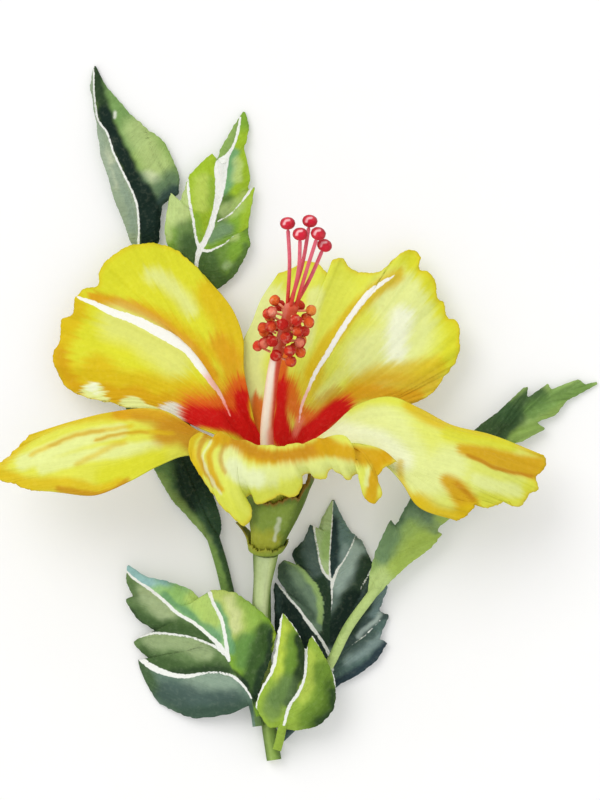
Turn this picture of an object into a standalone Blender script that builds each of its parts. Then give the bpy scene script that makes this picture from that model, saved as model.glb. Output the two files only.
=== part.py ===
"""Hibiscus flower: a picked sprig that lies on its back.

The flower's axis rises from its stalk toward +Y and +Z, so the open face looks up. The shoot runs along
the ground under the stalk and carries seven leaves. Lengths below are in millimetres, in a frame whose
+Z is up. MM turns them into metres.
"""

import math

import bmesh
import bpy
import numpy as np
from mathutils import Vector

MM = 0.001

# Where the ground under the middle of the whole sprig lies in the design frame.
FOOT = Vector((6.8, 7.85, 0.235))

# The flower's axis runs from the top of its stalk to the middle of its throat, and bows to its right
# by LEAN at its middle.
FLOWER_BASE = np.array((-0.5, -26.5, 10.5))
THROAT = np.array((0.0, 0.0, 22.5))
LEAN = 1.8

# Petals: the claw's (distance up the axis, radius) steps, the half angle of one claw, and the number of
# steps across and along each sheet.
CLAW = ((4.5, 3.2), (10.0, 4.3), (17.0, 6.0), (23.0, 7.8))
HALF_CLAW = 31.0
PETAL_THICKNESS = 0.6
PETAL_ACROSS = 22
PETAL_ALONG = 12

# Calyx: its outer (distance up the axis, radius) steps, the share by which it flares, and toward which
# angle. Each lobe of a rim is its angle, its tip's distance up the axis, its half width in degrees, and
# how pointed it is.
CALYX_SIDE = (
    (0.0, 3.5), (2.0, 4.2), (5.0, 4.8), (9.0, 5.9), (13.0, 6.9), (17.0, 7.8), (20.0, 8.8),
)
CALYX_FLARE = 0.16
FLARE_ANGLE = 10.0
FLARE_FROM = 6.0
FLARE_TO = 20.0
CALYX_WALL = 0.8
CALYX_FLOOR_RADIUS = 1.2
CALYX_RIM = 16.6
SEPALS = (
    (62, 18.8, 26, 1.0), (140, 18.8, 18, 0.9), (205, 18.0, 34, 1.2), (285, 18.0, 34, 1.2),
    (18, 22.6, 24, 0.4),
)

# Epicalyx: seven bracts in a thin collar, which clears the calyx by EPICALYX_GAP. The first bract is
# the longest, and bends away from the calyx.
EPICALYX_FOOT = 0.5
EPICALYX_GAP = 0.35
EPICALYX_WALL = 0.6
EPICALYX_RIM = 2.0
LONG_BRACT = 198.0
BRACTS = tuple((LONG_BRACT + 360.0 * k / 7, 2.8 if k else 7.0, 22, 1.1) for k in range(7))
BEND_FROM = 1.5

# Staminal column: (point, radius) steps from the floor of the calyx to its tip.
COLUMN = (
    ((-0.2, -24.9, 11.3), 1.7),
    ((0.5, -22.0, 12.5), 2.3),
    ((1.3, -17.0, 14.8), 2.1),
    ((1.2, -8.0, 18.9), 1.8),
    ((-0.2, 0.0, 22.5), 1.7),
    ((0.5, 12.0, 27.8), 1.55),
    ((1.9, 21.0, 31.8), 1.5),
    ((3.8, 27.5, 34.7), 1.5),
    ((5.9, 34.5, 38.0), 1.8),
)

# Stamens: they spiral up between two shares of the column's length, each turned from the one below by
# the golden angle. A filament starts this far from the column's middle line, and its direction rises by
# STAMEN_RISE. An anther is (distance past its filament, radius) steps.
STAMENS = 32
STAMEN_SPAN = (0.785, 0.98)
GOLDEN_ANGLE = 137.5
FIRST_STAMEN = 40.0
STAMEN_START = 1.95
STAMEN_RISE = 0.22
FILAMENT_RADIUS = 0.32
FILAMENT_LENGTHS = (1.7, 2.0, 2.3)
ANTHER = ((0.4, 1.12), (0.9, 1.4), (1.6, 1.4), (2.1, 1.0), (2.3, 0.35))

# Styles: the angle at which each leaves the column's tip, the middle of its bend, and the base of its
# stigma. A stigma is (distance past its base, radius) steps.
STYLES = (
    (170.0, (5.4, 46.0, 41.5), (5.0, 53.6, 42.5)),
    (98.0, (7.8, 45.0, 43.0), (8.0, 51.0, 45.3)),
    (242.0, (8.8, 46.0, 40.6), (10.2, 54.2, 42.2)),
    (26.0, (9.8, 44.0, 42.0), (12.1, 51.2, 45.3)),
    (314.0, (10.5, 41.5, 39.2), (13.5, 48.3, 41.2)),
)
STYLE_RING = 1.15
STYLE_GAP = 0.35
STYLE_RADIUS = 0.5
STIGMA = ((0.0, 0.6), (0.35, 1.4), (1.0, 1.85), (1.9, 1.85), (2.7, 1.4), (3.1, 0.6))

# Stalks: (point, radius) steps of the flower's stalk from under the calyx, and of the shoot from its
# cut end.
PEDICEL = (
    ((-0.58, -27.0, 10.3), 3.2),
    ((-1.1, -32.0, 8.1), 2.55),
    ((-1.9, -40.0, 6.8), 2.05),
    ((-1.7, -50.0, 6.3), 2.1),
    ((-0.8, -58.5, 6.2), 2.2),
)
SHOOT = (
    ((1.5, -79.0, 2.0), 1.85),
    ((0.3, -71.0, 1.99), 1.84),
    ((-0.8, -60.0, 1.97), 1.82),
    ((-1.0, -45.0, 1.95), 1.8),
    ((-1.3, -30.0, 1.92), 1.77),
    ((-2.6, -14.0, 1.88), 1.73),
    ((-7.0, 0.0, 1.85), 1.65),
    ((-14.0, 16.0, 1.8), 1.5),
    ((-23.0, 32.0, 1.7), 1.25),
)

# Leaves: half the thickness of a margin, the arch of each half per unit of its width, the lowest that
# the middle of a margin lies, half the width of a tip, and a rib's height above the blade as a share of
# its depth below.
LEAF_EDGE = 0.3
LEAF_ARCH = 0.06
LEAF_LOW = 0.45
LEAF_TIP = 0.4
RIB_TOP = 0.45


def chords(points):
    """Each point's share of the way along the polyline through them all."""
    steps = np.linalg.norm(np.diff(points, axis=0), axis=1)
    return np.concatenate(([0.0], np.cumsum(steps))) / steps.sum()


def spline(points, at, knots=None):
    """Smooth curve through the points, read at fractions of its length."""
    points = np.asarray(points, float)
    if knots is None:
        knots = chords(points)
    slopes = np.gradient(points, knots, axis=0)
    at = np.atleast_1d(np.asarray(at, float))
    i = np.clip(np.searchsorted(knots, at, side="right") - 1, 0, len(knots) - 2)
    gap = (knots[i + 1] - knots[i])[:, None]
    s = (at - knots[i])[:, None] / gap
    return (
        (2 * s**3 - 3 * s**2 + 1) * points[i]
        + (s**3 - 2 * s**2 + s) * gap * slopes[i]
        + (3 * s**2 - 2 * s**3) * points[i + 1]
        + (s**3 - s**2) * gap * slopes[i + 1]
    )


def flower_axes():
    """Unit vectors: up the flower's axis, to its side, and to its front."""
    up = (THROAT - FLOWER_BASE) / np.linalg.norm(THROAT - FLOWER_BASE)
    side = np.cross(up, (0.0, 0.0, 1.0))
    side /= np.linalg.norm(side)
    return up, side, np.cross(side, up)


def around(angle, radius, along):
    """The point at this angle (degrees, 90 is the front) and radius, this far up the flower's axis."""
    up, side, front = flower_axes()
    turn = math.radians(angle)
    length = np.linalg.norm(THROAT - FLOWER_BASE)
    centre = FLOWER_BASE + up * along + side * LEAN * math.sin(math.pi * min(along / length, 1.0))
    return centre + radius * (math.cos(turn) * side + math.sin(turn) * front)


def material(name, colour, roughness):
    made = bpy.data.materials.new(name)
    made.use_nodes = True
    shader = made.node_tree.nodes["Principled BSDF"]
    shader.inputs["Base Color"].default_value = (*colour, 1.0)
    shader.inputs["Roughness"].default_value = roughness
    shader.inputs["Metallic"].default_value = 0.0
    return made


def add_object(name, data, surface):
    obj = bpy.data.objects.new(name, data)
    obj.data.materials.append(surface)
    bpy.data.collections["hibiscus_flower"].objects.link(obj)
    obj.parent = bpy.data.objects["sprig"]
    return obj


def add_mesh(name, shape, surface):
    mesh = bpy.data.meshes.new(name)
    shape.to_mesh(mesh)
    shape.free()
    mesh.shade_smooth()
    return add_object(name, mesh, surface)


def add_sheet(name, points, thickness, surface):
    """A sheet of this thickness whose rows and columns run through the points."""
    rows, columns = points.shape[0] - 1, points.shape[1] - 1
    shape = bmesh.new()
    bmesh.ops.create_grid(shape, x_segments=columns, y_segments=rows, size=0.5)
    for vert in shape.verts:
        column = round((vert.co.x + 0.5) * columns)
        row = round((vert.co.y + 0.5) * rows)
        vert.co = Vector(points[row, column]) * MM
    obj = add_mesh(name, shape, surface)
    solid = obj.modifiers.new("thickness", "SOLIDIFY")
    solid.thickness = thickness * MM
    solid.offset = 0.0
    return obj


def add_loft(name, rings, surface):
    """A closed body through rings that have equal numbers of points."""
    shape = bmesh.new()
    loops = [[shape.verts.new(Vector(point) * MM) for point in ring] for ring in rings]
    for lower, upper in zip(loops, loops[1:]):
        for k in range(len(lower)):
            shape.faces.new((lower[k - 1], lower[k], upper[k], upper[k - 1]))
    shape.faces.new(reversed(loops[0]))
    shape.faces.new(loops[-1])
    bmesh.ops.recalc_face_normals(shape, faces=shape.faces)
    return add_mesh(name, shape, surface)


def add_tube(name, points, radii, surface, sides=8):
    """A round body along the points, with a radius at each and a flat cap at both ends."""
    curve = bpy.data.curves.new(name, "CURVE")
    curve.dimensions = "3D"
    curve.bevel_depth = MM
    curve.bevel_resolution = (sides - 4) // 2
    curve.use_fill_caps = True
    path = curve.splines.new("POLY")
    path.points.add(len(points) - 1)
    for spot, point, radius in zip(path.points, points, radii):
        spot.co = (*(Vector(point) * MM), 1.0)
        spot.radius = radius
    path.use_smooth = True
    return add_object(name, curve, surface)


def petal_points(centre, veins, margin, ruffle):
    """Rows from claw to margin, through veins that fan out, with an outline given by the margin."""
    guides = []
    for k, vein in enumerate(veins):
        angle = centre[0] + centre[1] * HALF_CLAW * (1 - 2 * k / (len(veins) - 1))
        guides.append([around(angle, radius, along) for along, radius in CLAW] + list(vein))
    v = np.linspace(0.0, 1.0, PETAL_ALONG + 1)
    u = np.linspace(0.0, 1.0, PETAL_ACROSS + 1)
    fans = np.array([spline(guide, v) for guide in guides])
    knots = chords(fans[:, -1])
    sheet = np.array([spline(fans[:, row], u, knots) for row in range(len(v))])
    outline = spline(margin, u)
    sheet[:, :, :2] += (v**4)[:, None, None] * (outline - sheet[-1, :, :2])
    depth, waves, start = ruffle
    sheet[:, :, 2] += depth * (v**3)[:, None] * np.sin(2 * math.pi * (waves * u + start))
    return sheet


def add_petals():
    yellow = material("petal_yellow", (0.72, 0.62, 0.03), 0.55)
    for name, shape in PETALS.items():
        add_sheet(name, petal_points(**shape), PETAL_THICKNESS, yellow)


# Each petal: the middle angle of its claw and the way its veins turn, its veins from throat to margin,
# its margin seen from above, and its ruffle (depth, waves, start).
PETALS = {
    "petal_upper_left": {
        "centre": (234.0, 1.0),
        "veins": (
            ((-2.8, 4, 13.6), (-4.5, 11, 15), (-6, 19, 15), (-6.3, 27, 13), (-8.5, 33, 11), (-16, 42, 7.5)),
            ((-4.5, 5, 14), (-11, 18, 14), (-17, 31, 11), (-24.5, 49.5, 7)),
            ((-6, 6, 15), (-15, 18, 13), (-26, 33, 10), (-37.5, 48.5, 7)),
            ((-9, 5, 16), (-19.5, 22.5, 13), (-33, 31.5, 10.5), (-47, 38, 8)),
            ((-10, 5, 17.5), (-21, 15, 15), (-35, 22, 11.5), (-52, 26.5, 7)),
            ((-11, 4, 18.5), (-20, 10.5, 16.5), (-33, 16, 13), (-51, 16.5, 8)),
            ((-11, 1.5, 19), (-16.5, 4, 18.5), (-21.5, 6.5, 17.5), (-27.5, 9, 16), (-33.5, 9.5, 14)),
        ),
        "margin": (
            (-16, 42), (-19.5, 46), (-24.5, 49.5), (-30, 50.5), (-34, 50), (-38, 48), (-42, 44), (-43, 39.5),
            (-46, 39), (-48.5, 36), (-49, 32.5), (-51.5, 31.5), (-52, 26.5), (-54, 22), (-52.5, 18),
            (-50.5, 14.5), (-47, 12.5), (-44, 11.5), (-41, 11), (-38.5, 10.5), (-36, 9.5), (-33.5, 9.5),
        ),
        "ruffle": (0.9, 4.5, 0.1),
    },
    "petal_upper_right": {
        "centre": (306.0, -1.0),
        "veins": (
            (
                (-3, 4, 12.2), (-6.8, 12, 12.6), (-7.3, 19, 12), (-6.6, 25, 11), (-3.9, 31, 9.8),
                (-2, 36, 8.3), (2.5, 43, 6.5),
            ),
            ((1.5, 5, 13), (3.5, 18, 13), (6.5, 31, 10), (11, 46, 6.5)),
            ((4, 5, 13.5), (8, 18, 13), (14, 32, 9.5), (21, 44, 6)),
            ((7, 4, 14.5), (12, 14, 14), (18, 24, 11.5), (25, 33, 9), (36, 48, 7)),
            ((9, 3, 16), (18, 13, 14), (29, 23, 11), (44, 36, 7.5)),
            ((10, 2, 17), (19, 9, 15), (32, 15, 12.5), (48, 26, 9)),
            ((11, 0.5, 17.8), (18, 5, 16), (28, 8, 13.3), (37.5, 11, 10.5)),
        ),
        "margin": (
            (2.5, 43), (5.5, 44), (11, 46), (13, 45), (15, 43), (16.5, 46.5), (18, 47), (21, 44), (25.5, 43),
            (29, 44), (32, 47), (35.5, 49), (38, 47.5), (38, 44), (40.5, 43), (42, 40), (42.5, 37),
            (44, 35.5), (45, 32), (47, 31), (48, 26), (47, 21), (44, 17), (41, 13), (37.5, 11),
        ),
        "ruffle": (0.9, 5.0, 0.35),
    },
    "petal_left": {
        "centre": (162.0, -1.0),
        "veins": (
            (
                (-10.5, 0, 20.5), (-17.5, 3.5, 21), (-26, 8.5, 20.5), (-39.5, 8, 20), (-48, 6, 20),
                (-59.5, 2.5, 18),
            ),
            ((-12, -1, 22), (-22, 4, 24.5), (-38, 4, 26), (-52, 2, 25), (-66, -4, 20)),
            ((-12, -2.5, 24), (-22, 1, 27.5), (-38, -1, 30), (-52, -3, 29), (-69, -6, 22)),
            ((-12, -4, 26), (-22, -1, 29.5), (-38, -6, 33), (-52, -7, 32), (-63, -8.5, 26)),
            (
                (-11, -4.5, 27), (-20, -2.5, 30), (-27, -5, 32.5), (-34.5, -9, 35), (-43, -12.5, 35),
                (-54.5, -11, 31),
            ),
        ),
        "margin": (
            (-59.5, 2.5), (-62.5, -0.5), (-66, -4), (-69, -6), (-67.5, -8.5), (-63.5, -9.5), (-60, -11),
            (-54.5, -11),
        ),
        "ruffle": (0.8, 2.5, 0.2),
    },
    "petal_front": {
        "centre": (90.0, 1.0),
        "veins": (
            ((-10, -1.5, 30.5), (-17.5, 3, 32), (-19.5, 1.5, 34), (-20, -1, 35)),
            ((-7, -2, 30.5), (-12.5, 4, 33), (-15, 0, 36.5), (-15.5, -6, 37), (-14.5, -11, 34)),
            ((-4, -2.5, 30), (-6, 0.5, 32.5), (-7.5, -4, 37), (-8, -11, 37), (-7, -18, 32)),
            ((0, -3, 30), (0.5, -0.5, 32.5), (0, -4, 37), (0, -9, 37.5), (0, -14, 33.5)),
            ((4, -3, 30), (8.5, 0, 32.5), (8.5, -2.5, 36.5), (9, -6, 37), (9, -9.5, 34.5)),
            ((7, -2.5, 30), (17, 2, 33), (17.5, 0, 36), (17.5, -4, 37), (17.5, -7.5, 35)),
            ((12, -2, 30), (21, 0.5, 32), (29, -1, 33.5), (32, -3.5, 35)),
        ),
        "margin": (
            (-20, -1), (-19, -4), (-17, -7.5), (-14.5, -11), (-11.5, -15), (-9, -17.5), (-6, -20),
            (-4.2, -18), (-4.2, -15.5), (-5.6, -12.8), (-4, -12), (-2.6, -14.5), (0.8, -13.6), (3.4, -12.2),
            (6, -13),
            (8.1, -11.3), (8.7, -7.6), (11, -7), (12, -8.3), (14.5, -8),
            (15.5, -6), (18, -7), (20, -8.5), (22, -7), (23.5, -7), (24, -12.5), (26, -14.5), (28, -13),
            (27.5, -7.5), (29, -5.5), (32, -4),
        ),
        "ruffle": (0.6, 5.0, 0.0),
    },
    "petal_right": {
        "centre": (18.0, -1.0),
        "veins": (
            (
                (11, 0.5, 20), (15.5, 4, 20), (22.5, 10, 19.5), (30.5, 12, 19), (38, 9, 19), (45.5, 5, 19.5),
                (55.5, 2.5, 19), (67, -2, 16),
            ),
            ((12, -1, 22), (22, 5, 22.5), (36, 5, 24), (50, 1, 24), (68.5, -5, 17)),
            ((12, -2.5, 24), (22, 1.5, 25.5), (36, -1, 27.5), (50, -4, 27.5), (66, -12, 20)),
            ((12, -4, 25.5), (22, -2, 27.5), (34, -5, 30), (46, -9, 30), (59, -14, 24)),
            ((11, -5, 26.5), (20, -4, 28), (29, -5, 29.5), (33, -9, 31), (37, -15, 32), (47, -19, 29)),
        ),
        "margin": (
            (67, -2), (69, -3), (69, -6), (67, -8), (67.5, -11), (65, -12.5), (64, -14.5), (62, -15.5),
            (60, -14), (57, -15), (54, -15.5), (52, -14.5), (51, -16), (49, -18), (47, -19),
        ),
        "ruffle": (0.9, 3.5, 0.4),
    },
}


def rim_height(angle, lobes, low):
    """How far up the axis a lobed rim stands at this angle."""
    height = low
    for middle, tip, half, point in lobes:
        off = abs((angle - middle + 180.0) % 360.0 - 180.0)
        height = max(height, low + (tip - low) * max(0.0, 1.0 - off / half) ** point)
    return height


def side_radius(angle, along):
    """The calyx's outer radius at this angle and this far up the axis: it flares to its right."""
    rise = (min(along, FLARE_TO) - FLARE_FROM) / (FLARE_TO - FLARE_FROM)
    flare = 1.0 + CALYX_FLARE * max(0.0, math.cos(math.radians(angle - FLARE_ANGLE))) * rise
    steps = np.array(CALYX_SIDE)
    return float(np.interp(along, steps[:, 0], steps[:, 1])) * flare


def calyx_rings(turns):
    """Rings up the outside of the cup and back down its inside, ending at the floor."""
    outer, inner = [], []
    for step in np.linspace(0.0, 1.0, 8):
        outside, inside = [], []
        for k in range(turns):
            angle = 360.0 * k / turns
            along = step * rim_height(angle, SEPALS, CALYX_RIM)
            radius = side_radius(angle, along)
            outside.append(around(angle, radius, along))
            inside.append(around(angle, radius - CALYX_WALL, max(along, CALYX_WALL)))
        outer.append(outside)
        inner.append(inside)
    floor = [around(360.0 * k / turns, CALYX_FLOOR_RADIUS, CALYX_WALL) for k in range(turns)]
    return outer + inner[:0:-1] + [floor]


def bract_bend(angle, along):
    """How far the long bract stands off the calyx. The others stay close to it."""
    bend = 0.1 + 3.0 * max(0.0, math.cos(math.radians(angle - LONG_BRACT))) ** 4
    return bend * (max(0.0, along - BEND_FROM) / 5.0) ** 2


def epicalyx_rings(turns):
    """Rings up the outside of the collar of bracts and back down its inside."""
    outer, inner = [], []
    for step in np.linspace(0.0, 1.0, 6):
        outside, inside = [], []
        for k in range(turns):
            angle = 360.0 * k / turns
            along = EPICALYX_FOOT + step * (rim_height(angle, BRACTS, EPICALYX_RIM) - EPICALYX_FOOT)
            radius = side_radius(angle, along) + EPICALYX_GAP + bract_bend(angle, along)
            outside.append(around(angle, radius + EPICALYX_WALL, along))
            inside.append(around(angle, radius, along))
        outer.append(outside)
        inner.append(inside)
    return outer + inner[::-1]


def add_collar(name, rings, surface):
    """A body whose rings follow one another round a closed section, so it needs no caps."""
    shape = bmesh.new()
    loops = [[shape.verts.new(Vector(point) * MM) for point in ring] for ring in rings]
    for k, lower in enumerate(loops):
        upper = loops[(k + 1) % len(loops)]
        for j in range(len(lower)):
            shape.faces.new((lower[j - 1], lower[j], upper[j], upper[j - 1]))
    bmesh.ops.recalc_face_normals(shape, faces=shape.faces)
    return add_mesh(name, shape, surface)


def add_calyx():
    green = material("calyx_green", (0.25, 0.37, 0.07), 0.6)
    add_loft("calyx", calyx_rings(30), green)
    add_collar("epicalyx", epicalyx_rings(42), green)


def tube_steps(steps, count):
    """Points along the smooth line through (point, radius) steps, and the radius at each."""
    points = [point for point, _ in steps]
    at = np.linspace(0.0, 1.0, count)
    return spline(points, at), np.interp(at, chords(points), [radius for _, radius in steps])


def add_column():
    cream = material("column_cream", (0.85, 0.66, 0.52), 0.5)
    add_tube("staminal_column", *tube_steps(COLUMN, 17), cream, sides=12)


def column_frame(at):
    """A point on the column's middle line, its direction, and two directions across it."""
    path = [point for point, _ in COLUMN]
    back, here, ahead = spline(path, (max(at - 0.01, 0.0), at, min(at + 0.01, 1.0)))
    along = (ahead - back) / np.linalg.norm(ahead - back)
    side = np.cross(along, (0.0, 0.0, 1.0))
    side /= np.linalg.norm(side)
    return here, along, side, np.cross(side, along)


def add_stamens():
    """Filaments that spiral up the column, each with a plump anther at its end."""
    red = material("anther_red", (0.64, 0.05, 0.02), 0.7)
    low, high = STAMEN_SPAN
    for k in range(STAMENS):
        here, along, side, front = column_frame(low + (high - low) * k / (STAMENS - 1))
        turn = math.radians(GOLDEN_ANGLE * k + FIRST_STAMEN)
        out = math.cos(turn) * side + math.sin(turn) * front + STAMEN_RISE * along
        length = FILAMENT_LENGTHS[k % len(FILAMENT_LENGTHS)]
        steps = [(0.0, FILAMENT_RADIUS), (length, FILAMENT_RADIUS)]
        steps += [(length + distance, radius) for distance, radius in ANTHER]
        points = [here + out * (STAMEN_START + distance) for distance, _ in steps]
        add_tube(f"stamen_{k + 1:02d}", points, [radius for _, radius in steps], red, sides=6)


def add_styles():
    """Five branches from the column's tip, each ending in a round stigma."""
    crimson = material("stigma_crimson", (0.70, 0.034, 0.068), 0.65)
    tip, along, side, front = column_frame(1.0)
    for k, (angle, middle, end) in enumerate(STYLES):
        turn = math.radians(angle)
        start = tip + STYLE_GAP * along + STYLE_RING * (math.cos(turn) * side + math.sin(turn) * front)
        stalk = spline((start, middle, end), np.linspace(0.0, 1.0, 7))
        onward = (stalk[-1] - stalk[-2]) / np.linalg.norm(stalk[-1] - stalk[-2])
        head = [stalk[-1] + onward * distance for distance, _ in STIGMA]
        radii = [STYLE_RADIUS] * (len(stalk) - 1) + [radius for _, radius in STIGMA]
        add_tube(f"style_{k + 1}", list(stalk[:-1]) + head, radii, crimson, sides=8)


def add_stems():
    green = material("stalk_green", (0.38, 0.51, 0.25), 0.6)
    add_tube("pedicel", *tube_steps(PEDICEL, 13), green, sides=12)
    add_tube("main_stem", *tube_steps(SHOOT, 25), green, sides=10)


def leaf_rings(stalk, midrib, left, right, rib, rise):
    """Rings across a leaf: round along its stalk, then flat with a rib from the blade's base to its tip."""
    rings = []
    for k, centre in enumerate(stalk):
        ahead = np.subtract(stalk[min(k + 1, len(stalk) - 1)], stalk[max(k - 1, 0)])
        across = np.cross(ahead, (0.0, 0.0, 1.0))
        across *= rib[0] / np.linalg.norm(across)
        rings.append(leaf_ring(np.array(centre), -across, across, rib[0], rib[0], 0.0))
    rows = len(left)
    middles = spline(midrib, np.linspace(0.0, 1.0, rows + 2))
    thickness = np.linspace(rib[0], rib[1], rows + 2)
    for k in range(rows + 1):
        centre = middles[k + 1]
        if k < rows:
            sides = [np.subtract(side[k], centre[:2]) for side in (left, right)]
        else:
            turn = (middles[-1] - middles[-2])[1::-1] * (-1.0, 1.0)
            turn *= LEAF_TIP / np.linalg.norm(turn)
            sides = [turn, -turn]
        offsets = []
        for side, slope in zip(sides, rise):
            lift = max(slope * np.linalg.norm(side), LEAF_LOW - centre[2])
            offsets.append(np.array((*side, lift)))
        thick = thickness[k + 1]
        rings.append(leaf_ring(centre, *offsets, thick, thick * RIB_TOP, LEAF_ARCH))
    return rings


def leaf_ring(centre, left, right, below, above, arch):
    """One ring: over the top from left to right, and back underneath."""
    up = np.array((0.0, 0.0, 1.0))
    top = [(0.0, centre + up * above)]
    bottom = [(0.0, centre - up * below)]
    for side, sign in ((left, -1), (right, 1)):
        width = np.linalg.norm(side)
        inner = min(below * 0.75 / width, 0.75)
        for share in (inner, (1.0 + inner) / 2, 1.0):
            bump = math.sqrt(max(0.0, 1.0 - (share * width / below) ** 2))
            spot = centre + side * share + up * (arch * width * math.sin(math.pi * share))
            top.append((sign * share, spot + up * (LEAF_EDGE + (above - LEAF_EDGE) * bump)))
            bottom.append((sign * share, spot - up * (LEAF_EDGE + (below - LEAF_EDGE) * bump)))
    top.sort(key=lambda spot: spot[0])
    bottom.sort(key=lambda spot: -spot[0])
    return [spot for _, spot in top + bottom]


# Each leaf: its stalk, its midrib from the blade's base to the tip, the teeth and notches of its left and
# right margins seen from above, the rib's radius at both ends, and the rise of each half per unit width.
LEAVES = {
    "leaf_lower_left": {
        "stalk": ((-2.6, -70.5, 4.3), (-3.0, -67.5, 6.2)),
        "midrib": (
            (-3.6, -65, 7.6), (-7, -58.5, 9.4), (-11.5, -51, 9.8), (-19.2, -44.8, 8), (-27.8, -37.2, 5.5),
            (-35.2, -30.3, 3),
        ),
        "left": (
            (-10, -67.5), (-19, -68.5), (-27, -65), (-30.5, -60), (-32.6, -53.8), (-27.5, -56), (-33.6, -50),
            (-32, -48), (-28, -47), (-33, -43.5), (-35.8, -39), (-34, -38), (-35.5, -34.5),
        ),
        "right": (
            (-2.5, -62.5), (-1.2, -58.5), (1, -52.5), (2, -47.5), (0.7, -44.3), (-2, -41.5), (-4.5, -39.5),
            (-8.2, -37), (-14, -36.3), (-13.8, -41.5), (-19.5, -36.2), (-25.8, -34), (-30.5, -33),
        ),
        "rib": (1.3, 0.45),
        "rise": (-0.42, 0.03),
    },
    "leaf_lower_middle": {
        "stalk": ((2.2, -76.5, 5.0), (3.0, -73.5, 6.8)),
        "midrib": ((3.5, -71, 8.0), (5.5, -64, 10.3), (8.5, -57, 11.3), (9.4, -51, 11.2)),
        "left": (
            (0, -70.5), (-3, -65.5), (-2, -61.5), (0.6, -56.5), (1.9, -51), (2.5, -46.5), (3.6, -42),
            (6.3, -45), (8.2, -48.3),
        ),
        "right": (
            (8, -71.5), (13, -70), (16.5, -66), (17, -61), (16.2, -57), (14.5, -53.5), (12.8, -50.5),
            (11, -47.6), (10, -49.8),
        ),
        "rib": (1.1, 0.5),
        "rise": (0.0, -0.1),
    },
    "leaf_lower_right": {
        "stalk": ((3.3, -73.5, 2.1), (9, -68, 1.7)),
        "midrib": ((15, -61.5, 1.6), (15.8, -50, 2.0), (15.8, -38, 2.4), (16, -27, 2.2), (16.3, -13.8, 1.2)),
        "left": (
            (9, -58.5), (4.5, -53), (1.8, -47), (1.6, -40), (1.6, -34.6), (5, -37.5), (2.4, -33.4),
            (2.7, -30), (4.3, -28.8), (7.5, -31), (5.9, -27.2), (8.8, -24), (10.7, -20), (12.7, -24),
            (13, -19.5),
        ),
        "right": (
            (18, -60), (22.4, -57.7), (27.2, -54), (29.8, -49.7), (28, -48.5), (30.2, -43), (28, -41.5),
            (29, -38.5), (30, -35.6), (27.5, -33), (26.2, -29.5), (25.2, -27.5), (23.5, -24), (20.5, -21.5),
            (18, -17),
        ),
        "rib": (1.1, 0.4),
        "rise": (-0.05, -0.05),
    },
    "leaf_right": {
        "stalk": ((2.6, -68.0, 4.0), (8, -63.3, 5.4), (14, -57, 5.9), (20.5, -45, 6.3)),
        "midrib": (
            (26, -37.5, 6.6), (32, -27.5, 7.2), (38.5, -19, 7.4), (48, -8, 6.4), (58, 2, 4.6),
            (67.5, 10, 2.8), (77, 14, 1.5), (82.5, 15.5, 0.9),
        ),
        "left": (
            (25.5, -32), (27, -26.5), (30.5, -19), (32, -20), (35, -14.5), (41, -4), (43, -5), (52, 4),
            (58, 8.5), (63.5, 14), (65, 14.5), (65.3, 12), (70, 15.2), (71.5, 14), (77.5, 16.5), (79.5, 15.3),
        ),
        "right": (
            (30, -35), (35, -30), (40.5, -26), (43.5, -22.5), (42.5, -21), (50, -15), (51, -11), (58, -4),
            (61.5, 1), (64, 1), (69.5, 4), (67.5, 5.5), (72, 7.5), (75, 11), (77, 12), (80, 13.8),
        ),
        "rib": (1.25, 0.4),
        "rise": (-0.12, -0.12),
    },
    "leaf_upper_left": {
        "stalk": ((-23.4, 32.7, 1.9), (-28.0, 41.5, 2.0)),
        "midrib": (
            (-31.5, 48, 2.0), (-33, 56.5, 2.6), (-35.5, 65, 3.0), (-40, 75, 2.6), (-43, 84, 1.8),
            (-43.5, 95, 1.0),
        ),
        "left": (
            (-34.5, 51), (-36, 55), (-38, 60), (-40, 66.5), (-42, 73), (-43, 80), (-44, 86), (-44.6, 90),
        ),
        "right": (
            (-27.5, 50.5), (-26.5, 60), (-22.5, 63), (-22.5, 68.5), (-26, 76), (-30, 79), (-35, 83.5),
            (-40.5, 90),
        ),
        "rib": (1.1, 0.4),
        "rise": (-0.02, -0.06),
    },
    "leaf_upper_middle": {
        "stalk": ((-19.2, 30.0, 2.0), (-18.4, 36, 2.2)),
        "midrib": (
            (-17.4, 42, 2.4), (-15, 50.5, 2.9), (-11.5, 60.5, 3.0), (-10, 69, 2.6), (-8, 76, 2.0),
            (-6, 83.5, 1.0),
        ),
        "left": (
            (-23, 45), (-26, 53), (-24.5, 63), (-22.5, 60.5), (-20.8, 64.5), (-19.5, 68), (-14, 73),
            (-13.5, 68.5), (-12, 74), (-8.6, 80),
        ),
        "right": (
            (-13, 39), (-8, 43), (-4.5, 50), (-5, 54.5), (-3.4, 64.5), (-5, 63.5), (-4.5, 68), (-6, 74),
            (-5.2, 77), (-4.8, 80.5),
        ),
        "rib": (1.0, 0.4),
        "rise": (0.08, -0.04),
    },
    "leaf_left": {
        "stalk": ((-4.4, -63.5, 2.0), (-6.6, -51, 2.0), (-9.8, -38, 2.2), (-12, -29, 2.6)),
        "midrib": (
            (-13.7, -23.5, 3.0), (-18, -14, 3.2), (-21.5, -5, 3.0), (-26.5, 8, 2.6), (-30, 21, 2.0),
            (-32, 33, 1.2),
        ),
        "left": ((-17.5, -21), (-23.5, -14.5), (-27.5, -8), (-31.5, 0), (-36, 10), (-37, 19), (-35, 27)),
        "right": ((-11.6, -20), (-13.2, -14), (-15, -8), (-17.5, 0), (-21, 9), (-23.5, 18), (-28, 27)),
        "rib": (1.6, 0.45),
        "rise": (-0.05, -0.05),
    },
}


def add_leaves():
    green = material("leaf_green", (0.16, 0.27, 0.06), 0.5)
    for name, shape in LEAVES.items():
        add_loft(name, leaf_rings(**shape), green)


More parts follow.
